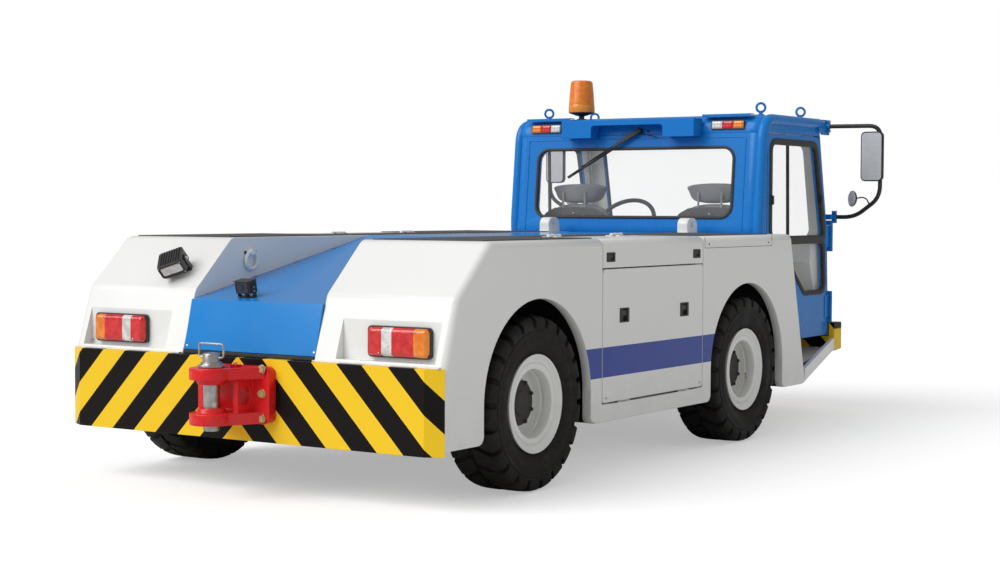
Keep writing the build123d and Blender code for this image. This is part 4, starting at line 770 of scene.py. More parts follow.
# door frames of black rubber, the pane's slider bar, the catches and a pale boss inside
doorFrame = {
    "upper": [(4.660, 1.152), (4.660, 1.190), (4.523, 1.723), (3.868, 1.723), (3.868, 1.152)],
    "lower": [(4.683, 0.800), (4.660, 1.108), (4.040, 1.108), (4.195, 0.948), (4.372, 0.800)],
    "upperSection": [(-0.005, -0.016), (-0.005, 0.003), (0.001, 0.007), (0.029, 0.0075), (0.034, 0.004),
                     (0.034, -0.002), (0.006, -0.004), (0.004, -0.016)],
    "lowerSection": [(-0.005, -0.016), (-0.005, 0.003), (0.001, 0.0065), (0.021, 0.007), (0.026, 0.0035),
                     (0.026, -0.002), (0.006, -0.004), (0.004, -0.016)],
    "between": [(4.02, 1.112), (4.66, 1.112), (4.655, 1.148), (3.868, 1.148), (3.868, 1.135)],
    "corner": 0.055, "slider": ((4.131, 1.735), (4.146, 1.156)), "sliderHalf": 0.009,
    "catches": ((3.862, 1.378), (4.612, 1.389)), "catch": (0.014, 0.028), "catchOut": 0.016,
    "boss": (3.924, 1.716), "bossDepth": 0.040, "bossRadius": 0.021,
}


def doorFrameShape(shape):
    plane = sidePlane(cab["half"])
    for key in ("upper", "lower"):
        outline = roundCorners(doorFrame[key], doorFrame["corner"], 8)
        ringAlong(shape, outline, plane, doorFrame[f"{key}Section"])
    (topY, topZ), (footY, footZ) = doorFrame["slider"]
    half = doorFrame["sliderHalf"]
    bar = [(footY - half, footZ), (footY + half, footZ), (topY + half, topZ), (topY - half, topZ)]
    slabPart(shape, bar, plane, -0.024, -0.008)
    slabPart(shape, doorFrame["between"], plane, 0.0, 0.0085)


def catchShape(shape):
    wide, tall = doorFrame["catch"]
    for y, z in doorFrame["catches"]:
        slabPart(shape, rect(y - wide, z - tall, y + wide, z + tall), sidePlane(cab["half"]), -0.010,
                 doorFrame["catchOut"])


def bossShape(shape):
    x, y, z = cab["half"] - doorFrame["bossDepth"], back(doorFrame["boss"][0]), doorFrame["boss"][1]
    radius = doorFrame["bossRadius"]
    turnedPart(shape, [(0, radius), (0.006, radius), (0.008, radius * 0.85)], (x, y, z), (-1, 0, 0), 28)
    screwPart(shape, (x - 0.008, y, z), (-1, 0, 0), 0.007)


bothSides("doorRubber", doorFrameShape, "seal", "cab_door", edge=0.0015)
bothSides("doorCatches", catchShape, "plastic", "cab_door", edge=0.004)
bothSides("doorBoss", bossShape, "zinc", "cab_door")
print("doors and windows made")

# roof lamps: amber outside, red, then clear, each with its dots
roofLamp = {"centre": 0.650, "height": 1.836, "width": 0.226, "tall": 0.058, "depth": 0.009, "gap": 0.0025,
            "rise": 0.006, "border": (0.005, 0.006),
            "sections": ((0, 0.34, "clearDots"), (0.34, 0.67, "redDots"), (0.67, 1, "amberDots"))}


def pillowPart(shape, plane, low, high, rise, index, steps=10, edge=0.006):
    shares = [0.5 - 0.5 * cos(pi * i / steps) for i in range(steps + 1)]
    width, tall = high[0] - low[0], high[1] - low[1]
    grid = []
    for u in shares:
        column = [(low[0] + width * u, low[1] + tall * v,
                   rise * domed(min(u, 1 - u) * width, min(v, 1 - v) * tall, edge)) for v in shares]
        grid.append(newRing(shape, column, plane))
    gridFaces(shape, grid, [index] * steps)


for side, sign in sides:
    housing, cover = bmesh.new(), bmesh.new()
    centre = Matrix.Translation((sign * roofLamp["centre"], 0, 0))
    plane = wallPlane(cab["rear"], roofLamp["height"]) @ centre
    outline = roundedLoop(roofLamp["width"], roofLamp["tall"], 0.008, 5)
    slabPart(housing, outline, plane, -0.002, roofLamp["depth"])
    stands = ["roof_lamps"] if sign > 0 else []
    addPiece(f"roofLampHousing_{side}", housing, "plastic", edge=0.002, stands=stands)
    lifted = plane @ Matrix.Translation((0, 0, roofLamp["depth"] - 0.0005))
    half = roofLamp["width"] / 2 - roofLamp["border"][0]
    halfTall = roofLamp["tall"] / 2 - roofLamp["border"][1]
    for index, (start, end, _) in enumerate(roofLamp["sections"]):
        low, high = sorted(sign * (-half + 2 * half * share) for share in (start, end))
        gap = roofLamp["gap"] / 2
        pillowPart(cover, lifted, (low + gap, -halfTall), (high - gap, halfTall), roofLamp["rise"], index)
    addPiece(f"roofLampLens_{side}", cover, [s[2] for s in roofLamp["sections"]], sharp=60, clean=False)
print("roof lamps made")

# beacon: black stem and cone, pale collar, ribbed lens
beacon = {
    "place": (-0.470, back(3.880), roof),
    "foot": [(0, 0.030), (0.004, 0.030), (0.006, 0.018), (0.022, 0.018), (0.025, 0.034), (0.041, 0.080),
             (0.044, 0.0835), (0.046, 0.080)],
    "collar": [(0.045, 0.060), (0.045, 0.0835), (0.048, 0.0848), (0.090, 0.0838), (0.094, 0.082),
               (0.094, 0.060)],
    "lens": (0.0945, 0.245), "radii": (0.0825, 0.0715), "ribs": 26, "ribDepth": 0.0007, "shoulder": 0.012,
}


def beaconLensProfile():
    (low, top), (wide, narrow), shoulder = beacon["lens"], beacon["radii"], beacon["shoulder"]
    count, made = beacon["ribs"] * 4, []
    for t in (i / count for i in range(count + 1)):
        rib = beacon["ribDepth"] * (0.5 - 0.5 * cos(tau * t * beacon["ribs"]))
        made.append((low + (top - shoulder - low) * t, wide + (narrow - wide) * t ** 1.4 - rib))
    for step in range(1, 7):
        turn = radians(15 * step)
        made.append((top - shoulder + shoulder * sin(turn) + 0.006 * (step / 6) ** 3,
                     narrow - shoulder * (1 - cos(turn)) - 0.004 * (step == 6)))
    return made + [(top + 0.0061, 0.03)]


for name, look, profile, segments, sharp, stands in (
    ("beaconFoot", "plastic", beacon["foot"], 48, 35, ["beacon"]),
    ("beaconCollar", "beaconCollar", beacon["collar"], 64, 35, []),
    ("beaconLens", "beaconLens", beaconLensProfile(), 64, 50, []),
):
    shape = bmesh.new()
    turnedPart(shape, profile, beacon["place"], upward, segments)
    addPiece(name, shape, look, sharp=sharp, stands=stands)

# lifting eyes on the roof
eye = {"x": 0.766, "places": (3.960, 4.560), "ring": 0.027, "wire": 0.0075, "rise": 0.049,
       "facing": (-0.545, 0.839, 0),
       "foot": [(0, 0.024), (0.006, 0.024), (0.008, 0.020), (0.008, 0.012), (0.018, 0.0115), (0.030, 0.0095)]}
shape = bmesh.new()
for _, sign in sides:
    for place in eye["places"]:
        x, y = sign * eye["x"], back(place)
        turnedPart(shape, eye["foot"], (x, y, roof), upward, 24)
        plane = axisFrame((x, y, roof + eye["rise"]), eye["facing"])
        hoopPart(shape, plane, eye["ring"], eye["wire"], 36, 12)
addPiece("roofEyeBolts", shape, "blue", sharp=50, stands=["roof_eyes"])
print("beacon and eyes made")

# seats: padded cushion, back and winged headrest on a dark shell
seat = {
    "x": 0.490, "cushion": {"middle": (4.147, 0.932), "half": (0.234, 0.218, 0.049), "crown": 0.22},
    "back": {"middle": (3.880, 1.165), "half": (0.232, 0.042, 0.188), "crown": 0.30},
    "headrest": {"middle": (3.872, 1.420), "half": (0.202, 0.041, 0.060), "crown": 0.15},
    "seams": {"cushion": 7 / 15, "back": 0.6, "headrest": 0.6}, "pressure": 2.0, "frames": 20, "most": 0.0065,
    "cuts": 15, "power": 5.0, "piping": 0.0032, "pipingCount": 88,
    "shellTop": 1.335, "shellLow": 0.860, "shellY": 3.8235, "shellHalf": 0.236,
    "boxes": ((0.236, (3.815, 0.857), (4.354, 0.8745)), (0.18, (3.922, 0.760), (4.252, 0.858))),
    "rodX": 0.080, "rod": 0.0065, "rodY": 3.822, "rodHeights": (1.30, 1.425), "collar": (3.824, 1.3345),
    "screws": ((-0.075, 0.062), (0, 0.045), (0.075, 0.062)),
}


def padPoint(kind, u, v, w):                       # a point of the unit cube on the pad: across, through, up
    power = seat["power"]
    length = (abs(u) ** power + abs(v) ** power + abs(w) ** power) ** (1 / power)
    u, v, w = u / length, v / length, w / length
    crown, (halfX, halfY, halfZ) = seat[kind]["crown"], seat[kind]["half"]
    if kind == "cushion":
        top = 1 if w > 0 else 0
        w *= 1 + crown * (1 - u * u) * (1 - v * v) * top
        dip = 0.16 * (1 - u * u) * max(0, 1 - (v + 0.15) ** 2) * top
        return u * halfX, v * halfY, (w - dip) * halfZ
    v *= 1 + crown * (1 - u * u) * (1 - w * w)
    if kind == "back":
        shoulder = 0.17 * u * u * max(0, w)
        return u * halfX * (1 - 0.06 * max(0, w)), (v + 0.25 * u * u) * halfY, (w - shoulder) * halfZ
    narrow = 0.74 + 0.26 * (w + 1) / 2
    wing = w - 0.36 * u * u * max(0, w) + 0.18 * u * u
    return u * halfX * narrow, (v + 0.75 * u * u) * halfY, wing * halfZ


def padPlace(kind, sign, u, v, w):
    (x, y, z), (middleY, middleZ) = padPoint(kind, u, v, w), seat[kind]["middle"]
    return Vector((sign * seat["x"] + x, back(middleY) + y, middleZ + z))


def padShape(kind, sign):
    shape = bmesh.new()
    steps = [-1 + 2 * i / seat["cuts"] for i in range(seat["cuts"] + 1)]
    made = {}
    seam = shape.verts.layers.deform.verify()

    def corner(u, v, w):
        key = (round(u, 4), round(v, 4), round(w, 4))
        if key not in made:
            made[key] = shape.verts.new(padPlace(kind, sign, u, v, w))
            if abs((w if kind == "cushion" else v) - seat["seams"][kind]) < 0.01:
                made[key][seam][0] = 1.0
        return made[key]

    for a, c in zip(steps, steps[1:]):
        for b, d in zip(steps, steps[1:]):
            for end in (-1, 1):
                corners = ((a, b), (c, b), (c, d), (a, d))
                shape.faces.new([corner(p, q, end) for p, q in corners])
                shape.faces.new([corner(p, end, q) for p, q in corners])
                shape.faces.new([corner(end, p, q) for p, q in corners])
    bmesh.ops.recalc_face_normals(shape, faces=shape.faces)
    return shape


def pipingShape(kind, sign):                       # the sewn edge that runs round each pad
    shape = bmesh.new()
    count, level, points, rings = seat["pipingCount"], seat["seams"][kind], [], []
    for i in range(count):
        u, t = cos(tau * i / count), sin(tau * i / count)
        scale = 1 / max(abs(u), abs(t))
        across = (t * scale, level) if kind == "cushion" else (level, t * scale)
        points.append(padPlace(kind, sign, u * scale, *across))
    for i, here in enumerate(points):
        tangent = (points[(i + 1) % count] - points[i - 1]).normalized()
        first = tangent.cross(Vector(upward if kind == "cushion" else (0, 1, 0))).normalized()
        other = tangent.cross(first)
        rings.append(newRing(shape, [here + first * x + other * y for x, y in circleOf(seat["piping"], 8)]))
    loopFaces(shape, rings + rings[:1])
    return shape


def swell(pad):                                    # cloth simulation: the cover fills between its seams
    pad.vertex_groups.new(name="seam")
    scene = bpy.context.scene
    start = [v.co.copy() for v in pad.data.vertices]
    cloth = pad.modifiers.new("cloth", "CLOTH")
    cloth.settings.use_pressure = True
    cloth.settings.uniform_pressure_force = seat["pressure"]
    cloth.settings.vertex_group_mass = "seam"
    cloth.settings.effector_weights.gravity = 0
    cloth.point_cache.frame_start = 1
    cloth.point_cache.frame_end = seat["frames"]
    for frameNumber in range(1, seat["frames"] + 1):
        scene.frame_set(frameNumber)
    filled = pad.evaluated_get(bpy.context.evaluated_depsgraph_get())
    places = [v.co.copy() for v in filled.data.vertices][:len(start)]
    pad.modifiers.remove(cloth)
    for vertex, first, last in zip(pad.data.vertices, start, places):
        move = last - first
        vertex.co = first + move * min(1.0, seat["most"] / max(move.length, 1e-9))
    scene.frame_set(1)
    pad.vertex_groups.clear()
    smooth = pad.modifiers.new("smooth", "SUBSURF")
    smooth.levels = smooth.render_levels = 1
    return max((last - first).length for first, last in zip(start, places))


for side, sign in sides:
    for kind in ("cushion", "back", "headrest"):
        pad = addPiece(f"{kind}Pad_{side}", padShape(kind, sign), "cloth", sharp=60, stands=["seat_pads"],
                       clean=False)
        print(f"{kind} {side} swelled {1000 * swell(pad):.1f} mm before the cap")
        addPiece(f"{kind}Piping_{side}", pipingShape(kind, sign), "piping", sharp=60)
    shell, metal = bmesh.new(), bmesh.new()
    x, half, top, shellY = sign * seat["x"], seat["shellHalf"], seat["shellTop"], back(seat["shellY"])
    edge = [(half, seat["shellLow"]), (half * 0.97, top - 0.05), (half * 0.62, top - 0.008)]
    outline = edge + [(0, top)] + [(-a, b) for a, b in reversed(edge)]
    slabPart(shell, roundCorners(outline, 0.05, 6), rearPlane(x, shellY, 0), -0.0085, 0.0095)
    for reach, (startY, lowZ), (endY, highZ) in seat["boxes"]:
        boxPart(shell, (x - reach, back(startY), lowZ), (x + reach, back(endY), highZ))
    addPiece(f"seatShell_{side}", shell, "shell", edge=0.004, stands=["seat_frames"])
    for spot in (x - seat["rodX"], x + seat["rodX"]):
        tubePart(metal, [(spot, back(seat["rodY"]), z) for z in seat["rodHeights"]], seat["rod"], 14)
        collar = (spot, back(seat["collar"][0]), seat["collar"][1])
        turnedPart(metal, [(0, 0.012), (0.006, 0.012), (0.008, 0.009)], collar, upward, 18)
    for off, drop in seat["screws"]:
        screwPart(metal, (x + off, shellY - 0.0095, top - drop), (0, -1, 0), 0.0075)
    addPiece(f"seatRods_{side}", metal, "zinc", sharp=50)
print("seats made")

# steering wheel with its three spokes, hub and column
steering = {"middle": (-0.450, back(4.420), 1.215), "radius": 0.215, "rim": 0.0145, "tilt": 50,
            "spokes": (0, 180, 270),
            "hub": [(-0.03, 0.03), (-0.028, 0.047), (0.004, 0.050), (0.012, 0.040), (0.014, 0.02)],
            "column": [(-0.20, 0.034), (-0.03, 0.028)]}
tilt = radians(steering["tilt"])
plane = axisFrame(steering["middle"], (0, -sin(tilt), cos(tilt)))
shape = bmesh.new()
hoopPart(shape, plane, steering["radius"], steering["rim"], 72, 14)
for angle in steering["spokes"]:
    across, up = cos(radians(angle)), sin(radians(angle))
    route = [(across * r, up * r, z) for r, z in ((0.03, -0.02), (0.11, -0.012), (steering["radius"], 0))]
    tubePart(shape, placed(plane, *route), 0.0105, 12, 0.04)
turnedPart(shape, steering["hub"], *spotOn(plane), 40)
turnedPart(shape, steering["column"], *spotOn(plane), 28)
addPiece("steeringWheelDressed", shape, "grey", sharp=50, stands=["steering_wheel"])

# rear wiper: spindle, tapered head, arm, a blade held by its bridge, and the washer hose
wiper = {
    "height": 1.807, "pivot": 0.040, "angle": 209.8, "blade": (0.22, 0.58),
    "bridges": ((0.34, 0.42), (0.46, 0.54)),
    "spindle": [(0, 0.020), (0.012, 0.019), (0.014, 0.013), (0.034, 0.012), (0.040, 0.007)],
    "head": [(-0.02, -0.015), (0.05, -0.014), (0.190, -0.009), (0.190, 0.009), (0.05, 0.014), (-0.02, 0.015)],
    "rods": ((((0.15, 0.0065, 0.031), (0.40, 0.0060, 0.022)), 0.0045),
             (((0.15, -0.0065, 0.031), (0.46, -0.009, 0.020)), 0.0038)),
    "hose": ((0.035, -0.012, 0.008), (0.075, -0.017, 0.012), (0.125, -0.026, 0.010), (0.175, -0.044, 0.002)),
    "grommet": 0.097,
}
shape = bmesh.new()
wall = wallPlane(cab["rear"], wiper["height"])
plane = wall @ Matrix.Translation((wiper["pivot"], 0, 0)) @ Matrix.Rotation(radians(wiper["angle"]), 4, "Z")
start, end = wiper["blade"]
turnedPart(shape, wiper["spindle"], *spotOn(plane), 24)
slabPart(shape, wiper["head"], plane, 0.022, 0.037)
for route, radius in wiper["rods"]:
    tubePart(shape, placed(plane, *route), radius, 10)
slabPart(shape, [(start, -0.009), (end, -0.007), (end, 0.007), (start, 0.009)], plane, 0.003, 0.018)
for start, end in wiper["bridges"]:
    route = ((start, 0, 0.016), ((start + end) / 2, 0, 0.023), (end, 0, 0.016))
    tubePart(shape, placed(plane, *route), 0.004, 8, 0.02)
slabPart(shape, rect(0.385, -0.008, 0.425, 0.008), plane, 0.014, 0.025)
tubePart(shape, placed(wall, *wiper["hose"]), 0.0026, 8, 0.03)
turnedPart(shape, [(0, 0.0095), (0.002, 0.0095), (0.003, 0.006)], *spotOn(wall, wiper["grommet"]), 20)
addPiece("rearWiperDressed", shape, "plastic", edge=0.0006, stands=["rear_wiper"])

# mirrors: tube arm, tall framed glass, round spot mirror on a bent wire, clamps on the cab
mirror = {
    "route": [(0.884, 4.680, 1.858), (1.238, 4.745, 1.858), (1.238, 4.745, 1.400), (1.046, 4.800, 1.273),
              (0.890, 4.800, 1.273)],
    "tube": 0.0135, "bend": 0.075, "middle": (1.187, 4.745, 1.6625), "size": (0.150, 0.319), "round": 0.030,
    "frame": ((-0.024, 0.030), (-0.019, 0.012), (-0.006, 0.002), (0.012, 0.0), (0.020, 0.001), (0.024, 0.004),
              (0.0235, 0.009)), "glassInset": 0.017,
    "spot": (1.052, 4.745, 1.392), "spotFacing": (-0.62, -0.78, 0.05),
    "spotCup": [(-0.020, 0.016), (-0.016, 0.034), (-0.008, 0.046), (0.0, 0.0515), (0.004, 0.0515)],
    "spotGlass": [(0.003, 0.049), (0.0075, 0.044), (0.011, 0.034), (0.0135, 0.020), (0.0142, 0.006)],
    "spotWire": [(1.110, 4.765, 1.402), (1.138, 4.772, 1.392), (1.160, 4.768, 1.350)],
    "clamps": ((0.902, 4.683, 1.858), (0.905, 4.800, 1.273)), "clampDrop": 0.030, "clampFace": 0.9165,
    "clamp": [(-0.016, 0.017), (-0.015, 0.0215), (0.015, 0.0215), (0.016, 0.017)],
    "plate": (4.612, 1.802, 4.735, 1.900), "plateX": 0.886, "plateBolts": ((4.632, 4.718), (1.820, 1.884)),
}


def inFrame(place):
    return Vector((place[0], back(place[1]), place[2]))


mirrorPlane = rearPlane(*inFrame(mirror["middle"]))
spotPlace, spotFacing = inFrame(mirror["spot"]), Vector(mirror["spotFacing"]).normalized()


def mirrorArmShape(shape):
    tubePart(shape, [inFrame(place) for place in mirror["route"]], mirror["tube"], 18, mirror["bend"])
    width, tall = mirror["size"]
    rings = []
    for rise, shrink in mirror["frame"]:
        radius = max(0.006, mirror["round"] - shrink * 0.6)
        loop = roundedLoop(width - 2 * shrink, tall - 2 * shrink, radius, 8)
        rings.append(newRing(shape, [(x, y, rise) for x, y in loop], mirrorPlane))
    loopFaces(shape, rings, True)
    turnedPart(shape, mirror["spotCup"], spotPlace, spotFacing, 40)
    wire = [spotPlace - spotFacing * 0.015] + [inFrame(place) for place in mirror["spotWire"]]
    tubePart(shape, wire, 0.0045, 10, 0.02)


def mirrorGlassShape(shape):
    loop = roundedLoop(*(length - mirror["glassInset"] for length in mirror["size"]), 0.024, 8)
    slabPart(shape, loop, mirrorPlane, 0.020, 0.0245)
    turnedPart(shape, mirror["spotGlass"], spotPlace, spotFacing, 40)


def mirrorClampShape(shape):
    for x, y, z in (inFrame(place) for place in mirror["clamps"]):
        turnedPart(shape, mirror["clamp"], (x, y, z), (1, 0.1, 0), 28)
        for middle in (z - mirror["clampDrop"], z + mirror["clampDrop"]):
            boxPart(shape, (x - 0.014, y - 0.012, middle - 0.010), (x + 0.014, y + 0.012, middle + 0.010))
    slabPart(shape, roundCorners(rect(*mirror["plate"]), 0.012), sidePlane(mirror["plateX"]), -0.002, 0.007)


def mirrorBoltShape(shape):
    for y in mirror["plateBolts"][0]:
        for z in mirror["plateBolts"][1]:
            boltPart(shape, (mirror["plateX"] + 0.007, back(y), z), (1, 0, 0), 0.0085)
    for _, y, z in mirror["clamps"]:
        for middle in (z - mirror["clampDrop"], z + mirror["clampDrop"]):
            boltPart(shape, (mirror["clampFace"], back(y), middle), (1, 0, 0), 0.0075)


bothSides("mirrorArm", mirrorArmShape, "plastic", slotName="mirror_black", sharp=40, stands=["mirror"])
bothSides("mirrorFace", mirrorGlassShape, "mirrorGlass", sharp=40)
bothSides("mirrorClamps", mirrorClampShape, "blue", edge=0.0015)
bothSides("mirrorBolts", mirrorBoltShape, "gold", sharp=30)
print("mirrors and wiper made")

# rear hitch: turned pin with its cap and wire bail, bolts in the plate, lock tab and weld beads
hitch = {
    "pinY": back(-0.195), "capFoot": 0.599, "tail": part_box("hitch_pin")[0].z, "plateOut": 0.050,
    "bail": (0.073, 0.062), "bailInner": 0.036, "bailLift": 0.046, "wire": 0.005,
    "cap": [(0.0, 0.056), (0.003, 0.0595), (0.010, 0.060), (0.014, 0.058), (0.016, 0.050), (0.019, 0.0485),
            (0.024, 0.0480), (0.026, 0.040), (0.030, 0.0395), (0.060, 0.039), (0.064, 0.037), (0.066, 0.033)],
    "boltX": 0.175, "boltHeights": (0.590, 0.478, 0.364), "boltSize": 0.0195,
    "tab": (0.044, -0.012, 0.084, 0.030),
    "welds": ((0.545, -0.0018), (0.395, 0.0018)), "weldX": 0.105, "weldOff": 0.0135, "weldRadius": 0.0062,
}
shape = bmesh.new()
pinY, cap, plateFace = hitch["pinY"], hitch["capFoot"], rearFace - hitch["plateOut"]
length, foot, inner = cap - hitch["tail"], cap + hitch["bailLift"], hitch["bailInner"]
half, rise = hitch["bail"]
turnedPart(shape, [(0, 0.031), (0.005, 0.0375), (length, 0.038)], (0, pinY, hitch["tail"]), upward, 56)
turnedPart(shape, hitch["cap"], (0, pinY, cap), upward, 56)
bail = ((-inner, foot), (-half, foot), (-half, foot + rise), (half, foot + rise), (half, foot),
        (inner, foot))
tubePart(shape, [(x, pinY, z) for x, z in bail], hitch["wire"], 14, 0.016)
addPiece("hitchPinDressed", shape, "pin", sharp=40, stands=["hitch_pin"])
shape = bmesh.new()
for _, sign in sides:
    for height in hitch["boltHeights"]:
        boltPart(shape, (sign * hitch["boltX"], plateFace, height), (0, -1, 0), hitch["boltSize"])
boltPart(shape, (0.062, plateFace - 0.052, cap + 0.012), upward, 0.010)
addPiece("hitchBolts", shape, "gold", sharp=30)
shape = bmesh.new()
tabPlane = Matrix.Translation((0, plateFace - 0.062, cap))
slabPart(shape, roundCorners(rect(*hitch["tab"]), 0.009), tabPlane, 0.0, 0.011)
for ear, off in hitch["welds"]:
    for _, sign in sides:
        for hand in (-1, 1):
            x = sign * hitch["weldX"] + hand * hitch["weldOff"]
            route = [(x, plateFace - out, ear + off) for out in (0.088, 0.004)]
            tubePart(shape, route, hitch["weldRadius"], 10)
addPiece("hitchTabAndWelds", shape, "red", edge=0.0008, sharp=50)
print("hitch made")


def bracketPart(shape, plane, xs, ys, rise, footY, footTop):
    for hand in (-1, 1):
        start, end = sorted(hand * x for x in xs)
        slabPart(shape, rect(start, ys[0], end, ys[1]), plane, *rise)
    slabPart(shape, rect(-xs[1], footY[0], xs[1], footY[1]), plane, 0.0, footTop)


# work lamp on the box slope: finned case, lens towards the tow hitch, bracket
workLamp = {
    "place": (-0.580, 0.2206, 1.006), "slope": 43.3, "turn": 28, "case": (0.128, 0.110),
    "rise": (0.031, 0.1015), "fins": 8, "finPitch": 0.0135, "frame": (0.129, 0.073),
    "frameInner": (0.117, 0.061), "lens": (0.104, 0.047), "faceHeight": 0.0675,
    "bezel": [(-0.006, 0.054), (0.0055, 0.054), (0.0055, 0.0605), (0.002, 0.0625), (-0.004, 0.0615)],
}
plane = slopePlane(workLamp["place"], workLamp["slope"], workLamp["turn"])
face = plane @ rearPlane(0, 0, workLamp["faceHeight"])
shape = bmesh.new()
slabPart(shape, roundedLoop(*workLamp["case"], 0.012, 5), plane, *workLamp["rise"])
for i in range(workLamp["fins"]):
    x = (i - (workLamp["fins"] - 1) / 2) * workLamp["finPitch"]
    slabPart(shape, rect(x - 0.003, -0.050, x + 0.003, 0.052), plane, 0.100, 0.106)
slabPart(shape, roundedLoop(*workLamp["frame"], 0.010, 5), face, 0.048, 0.0555)
ringAlong(shape, roundedLoop(*workLamp["frameInner"], 0.008, 5), face, workLamp["bezel"])
bracketPart(shape, plane, (0.0645, 0.0700), (-0.016, 0.016), (0.0, 0.082), (-0.018, 0.018), 0.006)
turnedPart(shape, [(0.0, 0.015), (0.033, 0.015)], *spotOn(plane), 24)
addPiece("workLampCase", shape, "plastic", edge=0.0012, stands=["work_lamp"])
shape = bmesh.new()
slabPart(shape, roundedLoop(*workLamp["lens"], 0.008, 5), face, 0.0545, 0.0590)
addPiece("workLampLens", shape, "clearLens", edge=0.001)
shape = bmesh.new()
for x, y in centred(0.058, 0.030):
    screwPart(shape, *spotOn(face, x, y, 0.0615), 0.0035)
for hand in (-1, 1):
    boltPart(shape, *spotOn(plane, hand * 0.070, 0, 0.066, (hand, 0, 0)), 0.009)
addPiece("workLampScrews", shape, "zinc", sharp=30)

# reversing camera with a hooded window
rearCamera = {"place": (-0.110, 0.179, 0.900), "slope": 11.8, "case": (0.090, 0.058), "hood": (0.094, 0.066),
              "rise": (0.022, 0.080), "hoodRise": (0.0785, 0.083), "faceHeight": 0.0525,
              "stem": [(0.0, 0.021), (0.004, 0.021), (0.005, 0.012), (0.023, 0.011)],
              "bezel": [(-0.003, -0.001), (0.004, -0.001), (0.003, 0.004), (-0.002, 0.0045)],
              "window": [(0.0, 0.014), (0.003, 0.013), (0.0048, 0.009), (0.0054, 0.003)],
              "screws": (0.050, 0.030)}
plane = slopePlane(rearCamera["place"], rearCamera["slope"])
face = plane @ rearPlane(0, -rearCamera["case"][1] / 2, rearCamera["faceHeight"])
shape = bmesh.new()
slabPart(shape, roundedLoop(*rearCamera["case"], 0.006, 5), plane, *rearCamera["rise"])
hoodPlane = plane @ Matrix.Translation((0, -0.002, 0))
slabPart(shape, roundedLoop(*rearCamera["hood"], 0.006, 5), hoodPlane, *rearCamera["hoodRise"])
turnedPart(shape, rearCamera["stem"], *spotOn(plane), 24)
bracketPart(shape, plane, (0.0445, 0.0485), (-0.012, 0.014), (0.004, 0.062), (-0.012, 0.014), 0.005)
ringAlong(shape, roundedLoop(0.070, 0.044, 0.006, 5), face, rearCamera["bezel"])
addPiece("rearCameraCase", shape, "plastic", edge=0.0012, stands=["rear_camera"])
shape = bmesh.new()
slabPart(shape, roundedLoop(0.067, 0.041, 0.005, 5), face, 0.0, 0.0018)
turnedPart(shape, rearCamera["window"], *spotOn(face, z=0.001), 28)
addPiece("rearCameraWindow", shape, "darkGlass")
shape = bmesh.new()
for hand in (-1, 1):
    for z in rearCamera["screws"]:
        screwPart(shape, *spotOn(plane, hand * 0.0485, 0, z, (hand, 0, 0)), 0.0042)
addPiece("rearCameraScrews", shape, "zinc", sharp=30)

# tie hooks: bolted foot, ribbed boss and a hanging ring
tieHook = {"wall": 0.400, "distance": 0.530, "height": 1.100, "ringX": 0.386, "ring": 0.042, "wire": 0.0098,
           "drop": 0.038, "plate": (0.052, 0.022), "boltStep": 0.038,
           "boss": [(-0.002, 0.021), (0.005, 0.021), (0.007, 0.0155), (0.010, 0.0150), (0.011, 0.0135),
                    (0.014, 0.0135), (0.015, 0.0150), (0.024, 0.0145), (0.026, 0.0115)]}
hooks, hookBolts = bmesh.new(), bmesh.new()
wall, y, z = tieHook["wall"], back(tieHook["distance"]), tieHook["height"]
halfY, halfZ = tieHook["plate"]
turnedPart(hooks, tieHook["boss"], (wall, y, z), (-1, 0, 0), 36)
plane = axisFrame((tieHook["ringX"], y, z - tieHook["drop"]), (1, 0, 0))
hoopPart(hooks, plane, tieHook["ring"], tieHook["wire"], 56, 16)
boxPart(hooks, (wall - 0.004, y - halfY, z - halfZ), (wall + 0.001, y + halfY, z + halfZ))
for step in (-tieHook["boltStep"], tieHook["boltStep"]):
    boltPart(hookBolts, (wall - 0.004, y + step, z), (-1, 0, 0), 0.008)
addPiece("tieHooksDressed", withMirror(hooks), "white", edge=0.0008, sharp=50, stands=["tie_hooks"])
addPiece("tieHookBolts", withMirror(hookBolts), "plastic", sharp=30)
print("lamps, camera and hooks made")

# head lamps: bezel and domed lens
headLamp = {"x": 0.640, "place": (2.4334, 0.830), "lean": 3.3,
            "bezel": [(0.0, 0.086), (0.002, 0.088), (0.030, 0.088), (0.041, 0.0855), (0.045, 0.080),
                      (0.043, 0.0745), (0.036, 0.0735)],
            "lens": [(0.030, 0.0745), (0.038, 0.0740), (0.0415, 0.066), (0.0435, 0.050), (0.0445, 0.026)]}
aim = (0, cos(radians(headLamp["lean"])), sin(radians(headLamp["lean"])))
for name, profile, look, stands in (("headLampBezels", "bezel", "zinc", []),
                                    ("headLampLenses", "lens", "clearLens", ["head_lamps"])):
    shape = bmesh.new()
    for _, sign in sides:
        turnedPart(shape, headLamp[profile], (sign * headLamp["x"], *headLamp["place"]), aim, 56)
    addPiece(name, shape, look, sharp=50, stands=stands)

